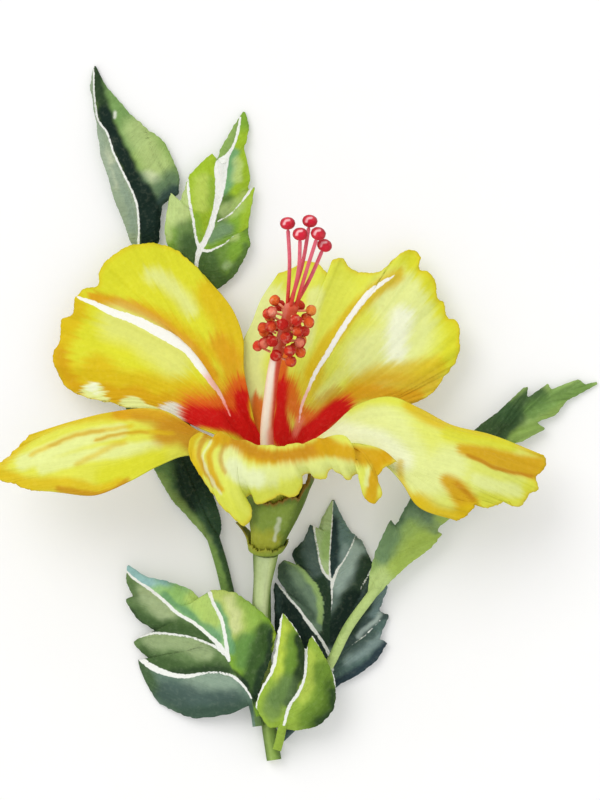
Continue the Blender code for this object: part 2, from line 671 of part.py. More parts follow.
def main():
    for obj in list(bpy.data.objects):
        bpy.data.objects.remove(obj)
    parts = bpy.data.collections.new("hibiscus_flower")
    bpy.context.scene.collection.children.link(parts)
    sprig = bpy.data.objects.new("sprig", None)
    sprig.location = -FOOT * MM
    parts.objects.link(sprig)
    add_petals()
    add_column()
    add_stamens()
    add_styles()
    add_calyx()
    add_stems()
    add_leaves()


main()
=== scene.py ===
# %% [markdown]
# # A yellow hibiscus on its sprig
# The object is one open hibiscus flower with five petals, on a picked shoot with seven leaves. It lies
# on its back on a pale floor, and the eye is straight above it. The imported solids fix every place and
# size. This lesson grows a fine skin over each of them, along the same lines: thin ruffled petals, lobed
# leaves with ivory veins, a column with dusty anthers, and colour laid in strokes that runs from lemon
# to red.

# %% Load the fixed frame
import math

import bpy
import numpy as np
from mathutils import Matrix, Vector


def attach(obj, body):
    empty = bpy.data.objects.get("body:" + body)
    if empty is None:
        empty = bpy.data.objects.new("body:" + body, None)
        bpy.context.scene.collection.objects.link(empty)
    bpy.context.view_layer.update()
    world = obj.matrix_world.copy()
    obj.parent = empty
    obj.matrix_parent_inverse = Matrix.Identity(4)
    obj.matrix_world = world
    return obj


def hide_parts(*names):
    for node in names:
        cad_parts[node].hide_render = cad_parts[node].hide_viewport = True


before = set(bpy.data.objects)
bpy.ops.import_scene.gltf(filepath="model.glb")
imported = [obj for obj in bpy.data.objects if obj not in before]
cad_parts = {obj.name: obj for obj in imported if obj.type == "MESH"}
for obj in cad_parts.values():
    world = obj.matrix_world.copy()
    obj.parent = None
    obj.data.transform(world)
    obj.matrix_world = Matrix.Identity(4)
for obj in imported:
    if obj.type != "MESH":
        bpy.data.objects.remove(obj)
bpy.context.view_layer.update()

# %% [markdown]
# ## Rulers and curves
# The plant was drawn in millimetres, in a frame whose ground point FOOT became the origin. Keeping that
# frame here means that the fine skins follow the same curves as the solids. A Hermite spline through a
# few points is the only curve that petals, leaves and stalks need.

# %% Rulers and curves
MM = 0.001
FOOT = np.array((6.8, 7.85, 0.235))


def chords(points):
    """Each point's share of the way along the polyline through them all."""
    steps = np.linalg.norm(np.diff(points, axis=0), axis=1)
    return np.concatenate(([0.0], np.cumsum(steps))) / steps.sum()


def spline(points, at, knots=None):
    """Smooth curve through the points, read at fractions of its length."""
    points = np.asarray(points, float)
    if knots is None:
        knots = chords(points)
    slopes = np.gradient(points, knots, axis=0)
    at = np.atleast_1d(np.asarray(at, float))
    i = np.clip(np.searchsorted(knots, at, side="right") - 1, 0, len(knots) - 2)
    gap = (knots[i + 1] - knots[i])[:, None]
    s = (at - knots[i])[:, None] / gap
    return (
        (2 * s**3 - 3 * s**2 + 1) * points[i]
        + (s**3 - 2 * s**2 + s) * gap * slopes[i]
        + (3 * s**2 - 2 * s**3) * points[i + 1]
        + (s**3 - s**2) * gap * slopes[i + 1]
    )


def ease(share):
    """A soft step from 0 to 1."""
    share = np.clip(share, 0.0, 1.0)
    return share * share * (3.0 - 2.0 * share)


def unit(vectors):
    return vectors / (np.linalg.norm(vectors, axis=-1, keepdims=True) + 1e-12)


WANDER_WAVES = (
    ((1.3, 0.7, 1.0, 1.0), (-1.1, 2.9, 2.0, 0.5)),
    ((-0.8, 1.1, 1.7, 1.0), (3.1, 1.7, 1.0, 0.5)),
)


def wander(places, size, pace, phase):
    """A smooth drift of the places, so that no edge of a colour or a margin is ruler straight."""
    x, y = places[..., 0] * pace, places[..., 1] * pace
    shifts = []
    for waves in WANDER_WAVES:
        turns = [(strength, in_x * x + in_y * y + turn * phase) for in_x, in_y, turn, strength in waves]
        shifts.append(sum(strength * np.sin(angle) for strength, angle in turns))
    return np.stack(shifts, axis=-1) * size


print("one unit here is", MM, "m, and the ground point is", FOOT.tolist())


# %% [markdown]
# ## Colour as brush strokes
# A real petal isn't one yellow: it is washed with lemon, gold and orange that melt into each other, and
# the throat is red. Image textures could hold that, but a procedural part can't use them. Noise alone
# can't say where the throat is. So each stroke is a line seen from above, with a colour, a strength, a
# half width and a softness in millimetres, and the strokes are laid one over another on the vertices.
# Many strokes are painted light and shade: painted highlights where a surface bows up, and painted shade in
# folds, along edges that turn away and where one part lies under another.

# %% Brush strokes
LINE_STEPS = 5
SOFT_REACH = 1.35
FAR = 1e9


def tint(red, green, blue):
    """A colour given as it looks on a screen, from 0 to 255, turned into linear light."""
    shown = np.array((red, green, blue)) / 255.0
    return np.where(shown <= 0.04045, shown / 12.92, ((shown + 0.055) / 1.055) ** 2.4)


def gap_to_line(places, line):
    """Distance in mm from each place to a line of (x, y) or (x, y, half width) points."""
    line = np.asarray(line, float)
    if line.shape[1] == 2:
        line = np.hstack((line, np.zeros((len(line), 1))))
    if len(line) > 2:
        line = spline(line, np.linspace(0.0, 1.0, LINE_STEPS * len(line)), chords(line[:, :2]))
    nearest = np.full(len(places), FAR)
    for start, end in zip(line, line[1:]):
        step = (end - start)[:2]
        share = np.clip((places - start[:2]) @ step / (step @ step + 1e-9), 0.0, 1.0)
        away = np.linalg.norm(places - start[:2] - share[:, None] * step, axis=1)
        nearest = np.minimum(nearest, away - start[2] - share * (end[2] - start[2]))
    return nearest


def brush(paint, places, strokes):
    """Lays each (colour, strength, half width, softness, line) stroke over the paint."""
    for colour, strength, half, soft, line in strokes:
        share = strength * ease(1.0 - (gap_to_line(places, line) - half) / (SOFT_REACH * soft))
        paint += share[:, None] * (colour - paint)
    return paint


def wash(colour, places):
    """One colour over all the places."""
    return np.tile(colour, (len(places), 1))


def inside(places, corners):
    """Which of the places lie inside the outline, by counting the edges that a ray crosses."""
    x, y = places.T
    found = np.zeros(len(places), bool)
    corners = np.asarray(corners, float)
    for (ax, ay), (bx, by) in zip(corners, np.roll(corners, -1, axis=0)):
        crosses = (ay > y) != (by > y)
        found ^= crosses & (x < ax + (y - ay) * (bx - ax) / (by - ay + 1e-12))
    return found


# %% [markdown]
# ## The palette
# Colours are named for what they are on the plant. They are given as they look in soft daylight.

# %% The palette
IVORY = tint(244, 246, 240)
WHITE = tint(247, 247, 238)
CREAM = tint(236, 240, 205)
PALE = tint(232, 236, 168)
LEMON = tint(225, 226, 78)
YELLOW = tint(220, 216, 48)
GOLD = tint(222, 186, 22)
DEEP_GOLD = tint(215, 163, 16)
ORANGE = tint(220, 158, 24)
AMBER = tint(200, 138, 28)
VERMILION = tint(222, 92, 26)
RED = tint(207, 18, 14)
ROSE = tint(240, 130, 120)
BLUSH = tint(244, 190, 176)
FRILL = tint(226, 222, 226)
print("lemon in linear light:", LEMON.round(3).tolist())

# %% [markdown]
# ## Skins from grids of points
# Every organ here is a grid of points: a petal is a flat grid, a leaf or a stalk is a grid whose columns
# close into rings. One helper turns a grid into a mesh, gives its vertices the colour, vein and flow
# attributes that the materials read, and ties it to its solid. Mesh code is used and not sculpting,
# because a rerun must grow exactly the same flower. Where no vein is near, its distance is NO_VEIN.

# %% Skins from grids
NO_VEIN = 9.0
ATTRIBUTE_FIELDS = {"FLOAT": "value", "FLOAT_VECTOR": "vector", "FLOAT_COLOR": "color"}


def quads(rows, columns, ring, loop):
    """Four-sided faces over a grid. A ring closes its columns, and a loop closes its rows as well."""
    index = np.arange(rows * columns).reshape(rows, columns)
    if ring:
        index = np.hstack((index, index[:, :1]))
    if loop:
        index = np.vstack((index, index[:1]))
    corners = (index[:-1, :-1], index[:-1, 1:], index[1:, 1:], index[1:, :-1])
    return np.stack(corners, axis=-1).reshape(-1, 4)


def enclosed(points, faces):
    """Six times the volume that the faces enclose. It is negative if they face inwards."""
    a, b, c, d = (points[faces[:, k]] for k in range(4))
    return np.einsum("ij,ij->", a, np.cross(b, c) + np.cross(c, d))


def plan_of(grid):
    """The grid's points seen from above."""
    return grid[:, :, :2].reshape(-1, 2)


def tell(skin):
    """Prints how many faces a skin has."""
    print(skin.name, len(skin.data.polygons), "faces")


def put(mesh, name, kind, values):
    layer = mesh.attributes.new(name, kind, "POINT")
    layer.data.foreach_set(ATTRIBUTE_FIELDS[kind], np.ascontiguousarray(values, np.float32).ravel())


def add_skin(node, grid, surfaces, paint, vein=None, rib=None, flow=None, ring=True, loop=False):
    """A mesh over the grid, which stands for the solid of this node."""
    rows, columns = grid.shape[:2]
    points = grid.reshape(-1, 3)
    faces = quads(rows, columns, ring, loop)
    turned = ring and enclosed(points, faces) < 0
    if turned:
        faces = faces[:, ::-1]
    faces = faces.tolist()
    if ring and not loop:
        first, last = list(range(columns)), list(range((rows - 1) * columns, rows * columns))
        faces += [first, last[::-1]] if turned else [first[::-1], last]
    mesh = bpy.data.meshes.new(node + "_skin")
    mesh.from_pydata(((points - FOOT) * MM).tolist(), [], faces)
    count = len(points)
    opaque = np.ones((count, 1))
    put(mesh, "paint", "FLOAT_COLOR", np.hstack((paint.reshape(-1, 3), opaque)))
    rib = wash(IVORY, points) if rib is None else rib
    put(mesh, "rib", "FLOAT_COLOR", np.hstack((rib, opaque)))
    put(mesh, "vein", "FLOAT", np.full(count, NO_VEIN) if vein is None else vein)
    put(mesh, "flow", "FLOAT_VECTOR", points if flow is None else flow)
    mesh.shade_smooth()
    skin = bpy.data.objects.new(node + "_skin", mesh)
    bpy.context.scene.collection.objects.link(skin)
    for surface in surfaces:
        mesh.materials.append(surface)
    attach(skin, "root")
    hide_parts(node)
    return skin


# %% [markdown]
# ## Shared grain
# Petals, leaves and stalks all share two fine finishes: fibres that run along the organ, and a soft
# mottle of cells about a millimetre across. Each could be painted into every material by hand, but one
# node group with its own inputs keeps them alike. It gives back a colour and a height, and the shader
# stays in the material.

# %% Shared grain as a node group
CELL_PACE = 900.0
BLOT_PACE = 160.0
SPECK_FROM = 0.52
SPECK_STRENGTH = 5.0


def node_group(name, inputs, outputs):
    """A shader group with (name, kind) sockets, some with a value. Gives it, its inputs and its result."""
    group = bpy.data.node_groups.new(name, "ShaderNodeTree")
    for way, sockets in (("INPUT", inputs), ("OUTPUT", outputs)):
        for title, kind, *value in sockets:
            made = group.interface.new_socket(title, in_out=way, socket_type="NodeSocket" + kind)
            if value:
                made.default_value = value[0]
    return group, group.nodes.new("NodeGroupInput").outputs, group.nodes.new("NodeGroupOutput")


def feed(tree, *pairs):
    """Gives each socket its value: a plain number or colour, or the output that it is wired to."""
    for value, slot in pairs:
        if isinstance(value, (int, float, tuple)):
            slot.default_value = value
        else:
            tree.links.new(value, slot)


def fill(tree, node, **values):
    """Feeds a node's named inputs. An underscore stands for the space in a name."""
    feed(tree, *((value, node.inputs[name.replace("_", " ")]) for name, value in values.items()))


def maths(tree, operation, first, second, clamp=False):
    """A Math node over two sockets or numbers. Gives back its output."""
    node = tree.nodes.new("ShaderNodeMath")
    node.operation = operation
    node.use_clamp = clamp
    feed(tree, (first, node.inputs[0]), (second, node.inputs[1]))
    return node.outputs[0]


def mix_colour(tree, kind, share, first, second):
    """A Mix node for colours. Gives back its result."""
    node = tree.nodes.new("ShaderNodeMix")
    node.data_type = "RGBA"
    node.blend_type = kind
    feed(tree, (share, node.inputs[0]), (first, node.inputs[6]), (second, node.inputs[7]))
    return node.outputs[2]


def noise(tree, vector, scale, detail, roughness=0.55):
    node = tree.nodes.new("ShaderNodeTexNoise")
    fill(tree, node, Vector=vector, Scale=scale, Detail=detail, Roughness=roughness)
    return node.outputs["Fac"]


def swing(tree, value, strength):
    """How far a value is from a half, times a strength."""
    return maths(tree, "MULTIPLY", maths(tree, "SUBTRACT", value, 0.5), strength)


def grain_group():
    """Fibres along the flow and a mottle of cells, over any colour."""
    inputs = (
        ("Colour", "Color"), ("Flow", "Vector"), ("Fibres", "Float", 0.1), ("Mottle", "Float", 0.1),
        ("Pale", "Color"),
    )
    group, given, result = node_group("living_grain", inputs, (("Colour", "Color"), ("Height", "Float")))
    place = group.nodes.new("ShaderNodeTexCoord").outputs["Object"]
    fibres = noise(group, given["Flow"], 1.0, 3.0)
    cells = noise(group, place, CELL_PACE, 2.0)
    blots = noise(group, place, BLOT_PACE, 3.0)
    light = maths(group, "ADD", swing(group, fibres, given["Fibres"]), swing(group, cells, given["Mottle"]))
    light = maths(group, "ADD", light, swing(group, blots, given["Mottle"]))
    shade = group.nodes.new("ShaderNodeHueSaturation")
    fill(group, shade, Color=given["Colour"], Value=maths(group, "ADD", light, 1.0))
    speck = maths(group, "SUBTRACT", cells, SPECK_FROM, True)
    speck = maths(group, "MULTIPLY", speck, given["Mottle"], True)
    speck = maths(group, "MULTIPLY", speck, SPECK_STRENGTH, True)
    colour = mix_colour(group, "MIX", speck, shade.outputs["Color"], given["Pale"])
    fibre_height = maths(group, "MULTIPLY", fibres, given["Fibres"])
    height = maths(group, "ADD", fibre_height, maths(group, "MULTIPLY", cells, given["Mottle"]))
    fill(group, result, Colour=colour, Height=height)
    return group


LIVING_GRAIN = grain_group()
print("node group:", LIVING_GRAIN.name)

# %% [markdown]
# ## Shared veins
# A vein is a pale band with crisp, slightly uneven edges. Vertex colours alone would blur it over a
# whole mesh cell, so the vertices hold their distance to the nearest vein instead, and this group cuts
# the band out of that distance. The distance changes evenly across a cell, and so the edge stays sharp.

# %% Shared veins as a node group
FRAY_PACE = 1100.0
FRAY = 0.5


def vein_group():
    """A band of the rib colour wherever the vein distance is under zero."""
    inputs = (("Colour", "Color"), ("Rib", "Color"), ("Distance", "Float"), ("Softness", "Float", 0.15))
    group, given, result = node_group("pale_vein", inputs, (("Colour", "Color"), ("Mask", "Float")))
    place = group.nodes.new("ShaderNodeTexCoord").outputs["Object"]
    frayed = swing(group, noise(group, place, FRAY_PACE, 2.0), FRAY)
    distance = maths(group, "ADD", given["Distance"], frayed)
    mask = maths(group, "SUBTRACT", 0.5, maths(group, "DIVIDE", distance, given["Softness"]), True)
    colour = mix_colour(group, "MIX", mask, given["Colour"], given["Rib"])
    fill(group, result, Colour=colour, Mask=mask)
    return group


PALE_VEIN = vein_group()
print("node group:", PALE_VEIN.name)


# %% [markdown]
# ## Living surfaces
# Petal, leaf and stalk are wet tissue under a thin waxy skin: broad soft gloss and no metal. Only the
# stigmas have a little sheen, from their fine hairs. The organs differ in how rough they are and in how
# strong the grain is, so one function makes them all. The fibres are the grain stretched along the
# organ, relief is the grain's height in millimetres, and pale is how light its specks are. What is the
# same over the whole surface sits on the shader's own sockets.

# %% Living surfaces
def attribute(tree, name, output):
    node = tree.nodes.new("ShaderNodeAttribute")
    node.attribute_name = name
    return node.outputs[output]


def living(name, roughness, fibres, mottle, stretch, relief, gloss, pale, sheen=0.0):
    """A material that shows the skin's own paint and veins under the shared grain."""
    made = bpy.data.materials.new(name)
    made.use_nodes = True
    tree = made.node_tree
    shader = tree.nodes["Principled BSDF"]
    flow = tree.nodes.new("ShaderNodeVectorMath")
    flow.operation = "MULTIPLY"
    feed(tree, (attribute(tree, "flow", "Vector"), flow.inputs[0]), (stretch, flow.inputs[1]))
    paint = attribute(tree, "paint", "Color")
    grain = tree.nodes.new("ShaderNodeGroup")
    grain.node_tree = LIVING_GRAIN
    light = mix_colour(tree, "MIX", pale, paint, (*CREAM, 1.0))
    fill(tree, grain, Colour=paint, Flow=flow.outputs[0], Fibres=fibres, Mottle=mottle, Pale=light)
    vein = tree.nodes.new("ShaderNodeGroup")
    vein.node_tree = PALE_VEIN
    rib, distance = attribute(tree, "rib", "Color"), attribute(tree, "vein", "Fac")
    fill(tree, vein, Colour=grain.outputs["Colour"], Rib=rib, Distance=distance)
    bump = tree.nodes.new("ShaderNodeBump")
    fill(tree, bump, Height=grain.outputs["Height"], Distance=relief * MM, Strength=1.0)
    fill(tree, shader, Base_Color=vein.outputs["Colour"], Normal=bump.outputs["Normal"])
    fill(tree, shader, Roughness=roughness, Specular_IOR_Level=gloss, Sheen_Weight=sheen)
    return made


PETAL_STRETCH = (1.0, 0.08, 1.0)
ROUND_GRAIN = (1.0, 1.0, 1.0)
PETAL_FACE = living("petal_face", 0.6, 0.15, 0.16, PETAL_STRETCH, relief=0.9, gloss=0.1, pale=0.1)
PETAL_BACK = living("petal_back", 0.65, 0.2, 0.16, PETAL_STRETCH, relief=0.9, gloss=0.1, pale=0.1)
LEAF_SKIN = living("leaf_skin", 0.6, 0.28, 0.3, (2.2, 0.16, 1.0), relief=1.0, gloss=0.1, pale=0.1)
STALK_SKIN = living("stalk_skin", 0.55, 0.2, 0.22, (2.5, 0.12, 1.0), relief=0.8, gloss=0.15, pale=0.15)
COLUMN_SKIN = living("column_skin", 0.5, 0.1, 0.12, (2.0, 0.2, 1.0), relief=0.5, gloss=0.2, pale=0.35)
ANTHER_DUST = living("anther_dust", 0.6, 0.1, 0.5, ROUND_GRAIN, relief=1.6, gloss=0.2, pale=0.35)
STIGMA_VELVET = living(
    "stigma_velvet", 0.6, 0.1, 0.35, ROUND_GRAIN, relief=1.2, gloss=0.2, pale=0.12, sheen=0.1
)
SURFACES = (PETAL_FACE, PETAL_BACK, LEAF_SKIN, STALK_SKIN, COLUMN_SKIN, ANTHER_DUST, STIGMA_VELVET)
print("materials:", [surface.name for surface in SURFACES])

# %% [markdown]
# ## Petals: the sheet
# Each petal springs from a narrow claw in the calyx, runs up its side of the throat and fans out into a
# broad crinkled blade. It could be one sculpted sheet, but its veins tell the whole shape: a handful of
# lines from throat to margin, joined across by splines, with the margin pulled onto its own outline and
# a ruffle that grows toward it. The solid uses the same lines on a coarse grid.

# %% Petals: the sheet
FLOWER_BASE = np.array((-0.5, -26.5, 10.5))
THROAT = np.array((0.0, 0.0, 22.5))
LEAN = 1.8
CLAW = ((4.5, 3.2), (10.0, 4.3), (17.0, 6.0), (23.0, 7.8))
HALF_CLAW = 31.0
PETAL_THICKNESS = 0.42
PETAL_ACROSS = 190
PETAL_ALONG = 110
OUTLINE_WANDER = (0.13, 1.6, 0.7)
OUTLINE_PULL = 4
RUFFLE_GROWTH = 3
CRINKLE = 0.3
CRINKLE_PACE = 3.4
CRINKLE_GROWTH = 7
CALM_SPAN = 9
CROSSING = 1.3


def flower_axes():
    """Unit vectors: up the flower's axis, to its side, and to its front."""
    up = unit(THROAT - FLOWER_BASE)
    side = unit(np.cross(up, (0.0, 0.0, 1.0)))
    return up, side, np.cross(side, up)


def around(angle, radius, along):
    """The point at this angle (degrees, 90 is the front) and radius, this far up the flower's axis."""
    up, side, front = flower_axes()
    turn = math.radians(angle)
    length = np.linalg.norm(THROAT - FLOWER_BASE)
    centre = FLOWER_BASE + up * along + side * LEAN * math.sin(math.pi * min(along / length, 1.0))
    return centre + radius * (math.cos(turn) * side + math.sin(turn) * front)


def margin_calm(sheet):
    """How much ruffle the margin can take: 1 where it crosses the fibres, near 0 where it follows them."""
    across = np.gradient(sheet[-1], axis=0)
    spacing = np.linalg.norm(across, axis=1)
    crossing = np.linalg.norm(np.cross(unit(across), unit(sheet[-1] - sheet[-2])), axis=1)
    calm = np.minimum(1.0, spacing / spacing.mean()) * np.minimum(1.0, CROSSING * crossing)
    padded = np.pad(calm, CALM_SPAN // 2, mode="edge")
    return np.convolve(padded, np.ones(CALM_SPAN) / CALM_SPAN, mode="valid")


def petal_grid(centre, veins, margin, ruffle):
    """Rows from claw to margin, through veins that fan out, with an outline given by the margin."""
    guides = []
    for k, vein in enumerate(veins):
        angle = centre[0] + centre[1] * HALF_CLAW * (1 - 2 * k / (len(veins) - 1))
        guides.append([around(angle, radius, along) for along, radius in CLAW] + list(vein))
    v = np.linspace(0.0, 1.0, PETAL_ALONG + 1)
    u = np.linspace(0.0, 1.0, PETAL_ACROSS + 1)
    fans = np.array([spline(guide, v) for guide in guides])
    knots = chords(fans[:, -1])
    sheet = np.array([spline(fans[:, row], u, knots) for row in range(len(v))])
    outline = spline(margin, u)
    outline += wander(outline, *OUTLINE_WANDER)
    sheet[:, :, :2] += (v**OUTLINE_PULL)[:, None, None] * (outline - sheet[-1, :, :2])
    depth, waves, start = ruffle
    calm = margin_calm(sheet)
    wave = np.sin(2 * math.pi * (waves * u + start))
    sheet[:, :, 2] += depth * (v**RUFFLE_GROWTH)[:, None] * calm * wave
    crinkle = CRINKLE * calm * np.sin(2 * math.pi * (CRINKLE_PACE * waves * u + 2 * start))
    sheet[:, :, 2] += (v**CRINKLE_GROWTH)[:, None] * crinkle
    return sheet


def sheet_normals(sheet):
    """Unit normals of a flat grid, turned so that the outer half of the blade looks up."""
    normals = unit(np.cross(np.gradient(sheet, axis=1), np.gradient(sheet, axis=0)))
    half = len(sheet) // 2
    return normals if normals[half:, :, 2].mean() > 0 else -normals


def looks_down(sheet):
    """Whether the fronts of the faces that the grid would get lie underneath."""
    i, j = len(sheet) // 2, sheet.shape[1] // 2
    middle = sheet[i, j]
    front = np.cross(sheet[i, j + 1] - middle, sheet[i + 1, j] - middle)
    return sheet_normals(sheet)[i, j] @ front < 0


print("flower axis, side and front:", [axis.round(2).tolist() for axis in flower_axes()])

# %% [markdown]
# ## Petals: growing them
# The relief is real geometry: a raised midrib, a fan of fine ribs and the crinkled margin. A Solidify
# modifier gives the sheet its thickness, and its second material makes the back rougher than the face.
# The paint gets a golden rim and a red throat here, because all five petals share those.

# %% Petals: growing them
PETAL_TONE = np.array((0.94, 0.98, 0.82))
FIBRE_PACES = (23.0, 37.0, 61.0)
PETAL_WANDER = (0.15, 0.5, 1.3)
RIM_SHARE = 0.55
RIM_WIDTH = 0.9
THROAT_SHARE = 0.17
RIDGE_HEIGHT = 0.3
RIDGE_WIDTH = 0.9
FAN_RIBS = 24
FAN_HEIGHT = 0.07
FAN_SLOPE = 0.02
FAN_WEAVE = 0.15
FAN_WEAVES = 9.0
FLOW_SPAN = 60.0


def petal_paint(look, sheet, plan, u, v):
    """The petal's colours: its strokes with feathered edges, the golden rim and the red throat."""
    waves = [np.sin(2 * math.pi * pace * u + pace * (1 + 0.1 * v)) for pace in FIBRE_PACES]
    fibre = sum(waves) / len(waves)
    feather = (look["feather"] * fibre)[:, :, None] * unit(np.gradient(sheet[:, :, :2], axis=0))
    drifted = plan + wander(plan, *PETAL_WANDER) + feather.reshape(-1, 2)
    paint = brush(wash(look["ground"], plan), drifted, look["strokes"])
    lengths = np.linalg.norm(np.gradient(sheet, axis=0), axis=2).sum(axis=0)
    rim = RIM_SHARE * np.exp(-((((1.0 - v) * lengths[None, :]).reshape(-1) / RIM_WIDTH) ** 2))
    paint += rim[:, None] * (GOLD - paint)
    throat = np.repeat(ease(1.5 - v.ravel() / THROAT_SHARE), u.size)
    paint += throat[:, None] * (RED - paint)
    return paint * PETAL_TONE


def petal_relief(sheet, gap, u, v):
    """How far the midrib and the fan of fine ribs stand up from the sheet."""
    ridge = RIDGE_HEIGHT * np.exp(-((np.maximum(gap, 0.0) / RIDGE_WIDTH) ** 2)).reshape(sheet.shape[:2])
    rib_gap = np.linalg.norm(np.gradient(sheet, axis=1), axis=2) * PETAL_ACROSS / FAN_RIBS
    fan = np.minimum(FAN_HEIGHT, FAN_SLOPE * rib_gap)
    fan = fan * np.sin(2 * math.pi * (FAN_RIBS * u + FAN_WEAVE * np.sin(FAN_WEAVES * v)))
    return ridge + fan * ease(v * 2.0)


def add_petal(node, lines, look):
    sheet = petal_grid(**lines)
    rows, columns = sheet.shape[:2]
    v = np.linspace(0.0, 1.0, rows)[:, None]
    u = np.linspace(0.0, 1.0, columns)[None, :]
    plan = plan_of(sheet)
    paint = petal_paint(look, sheet, plan, u, v)
    rib = brush(wash(WHITE, plan), plan, look.get("blush", ()))
    gap = gap_to_line(plan, look["midrib"]) if "midrib" in look else np.full(len(plan), NO_VEIN)
    sheet = sheet + petal_relief(sheet, gap, u, v)[:, :, None] * sheet_normals(sheet)
    flow = np.stack(np.broadcast_arrays(u * FLOW_SPAN, v * FLOW_SPAN, 0.0 * u), axis=-1).reshape(-1, 3)
    if looks_down(sheet):
        sheet = sheet[:, ::-1]
        order = np.arange(rows * columns).reshape(rows, columns)[:, ::-1].ravel()
        paint, rib, gap, flow = paint[order], rib[order], gap[order], flow[order]
    skin = add_skin(node, sheet, (PETAL_FACE, PETAL_BACK), paint, gap, rib, flow, ring=False)
    solid = skin.modifiers.new("thickness", "SOLIDIFY")
    solid.thickness = PETAL_THICKNESS * MM
    solid.offset = 0.0
    solid.material_offset = 1
    tell(skin)


# %% [markdown]
# ## The five petals
# Each petal has its lines and its look. The lines are the middle angle of its claw and the way its veins
# turn, the veins from throat to margin, the margin seen from above, and the ruffle's depth, waves and
# start. The look is a ground colour, how far the edges of its colours are feathered, and strokes: pale
# painted highlights where the blade bows up, painted shade in gold and orange where it turns away or
# folds, and red in the throat.
# The two upper petals also have a white midrib, given as (x, y, half width) points, which blushes
# toward the throat.
#
# The upper left petal is the broadest. It leans back, its long midrib is white, and orange runs beside
# the midrib, as painted shade, and down toward the throat. Pale painted highlights lie above and below
# the midrib, and painted gold shade runs along its tip and lower margin. The frills on its lower margin
# are nearly white, with a small painted highlight.

# %% The upper left petal
lines = {
    "centre": (234.0, 1.0),
    "veins": (
        ((-2.8, 4, 13.6), (-4.5, 11, 15), (-6, 19, 15), (-6.3, 27, 13), (-8.5, 33, 11), (-16, 42, 7.5)),
        ((-4.5, 5, 14), (-11, 18, 14), (-17, 31, 11), (-24.5, 49.5, 7)),
        ((-6, 6, 15), (-15, 18, 13), (-26, 33, 10), (-37.5, 48.5, 7)),
        ((-9, 5, 16), (-19.5, 22.5, 13), (-33, 31.5, 10.5), (-47, 38, 8)),
        ((-10, 5, 17.5), (-21, 15, 15), (-35, 22, 11.5), (-52, 26.5, 7)),
        ((-11, 4, 18.5), (-20, 10.5, 16.5), (-33, 16, 13), (-51, 16.5, 8)),
        ((-11, 1.5, 19), (-16.5, 4, 18.5), (-21.5, 6.5, 17.5), (-27.5, 9, 16), (-33.5, 9.5, 14)),
    ),
    "margin": (
        (-16, 42), (-19.5, 46), (-24.5, 49.5), (-30, 50.5), (-34, 50), (-38, 48), (-42, 44), (-43, 39.5),
        (-46, 39), (-48.5, 36), (-49, 32.5), (-51.5, 31.5), (-52, 26.5), (-54, 22), (-52.5, 18),
        (-50.5, 14.5), (-47, 12.5), (-44, 11.5), (-41, 11), (-38.5, 10.5), (-36, 9.5), (-33.5, 9.5),
    ),
    "ruffle": (0.9, 4.5, 0.1),
}
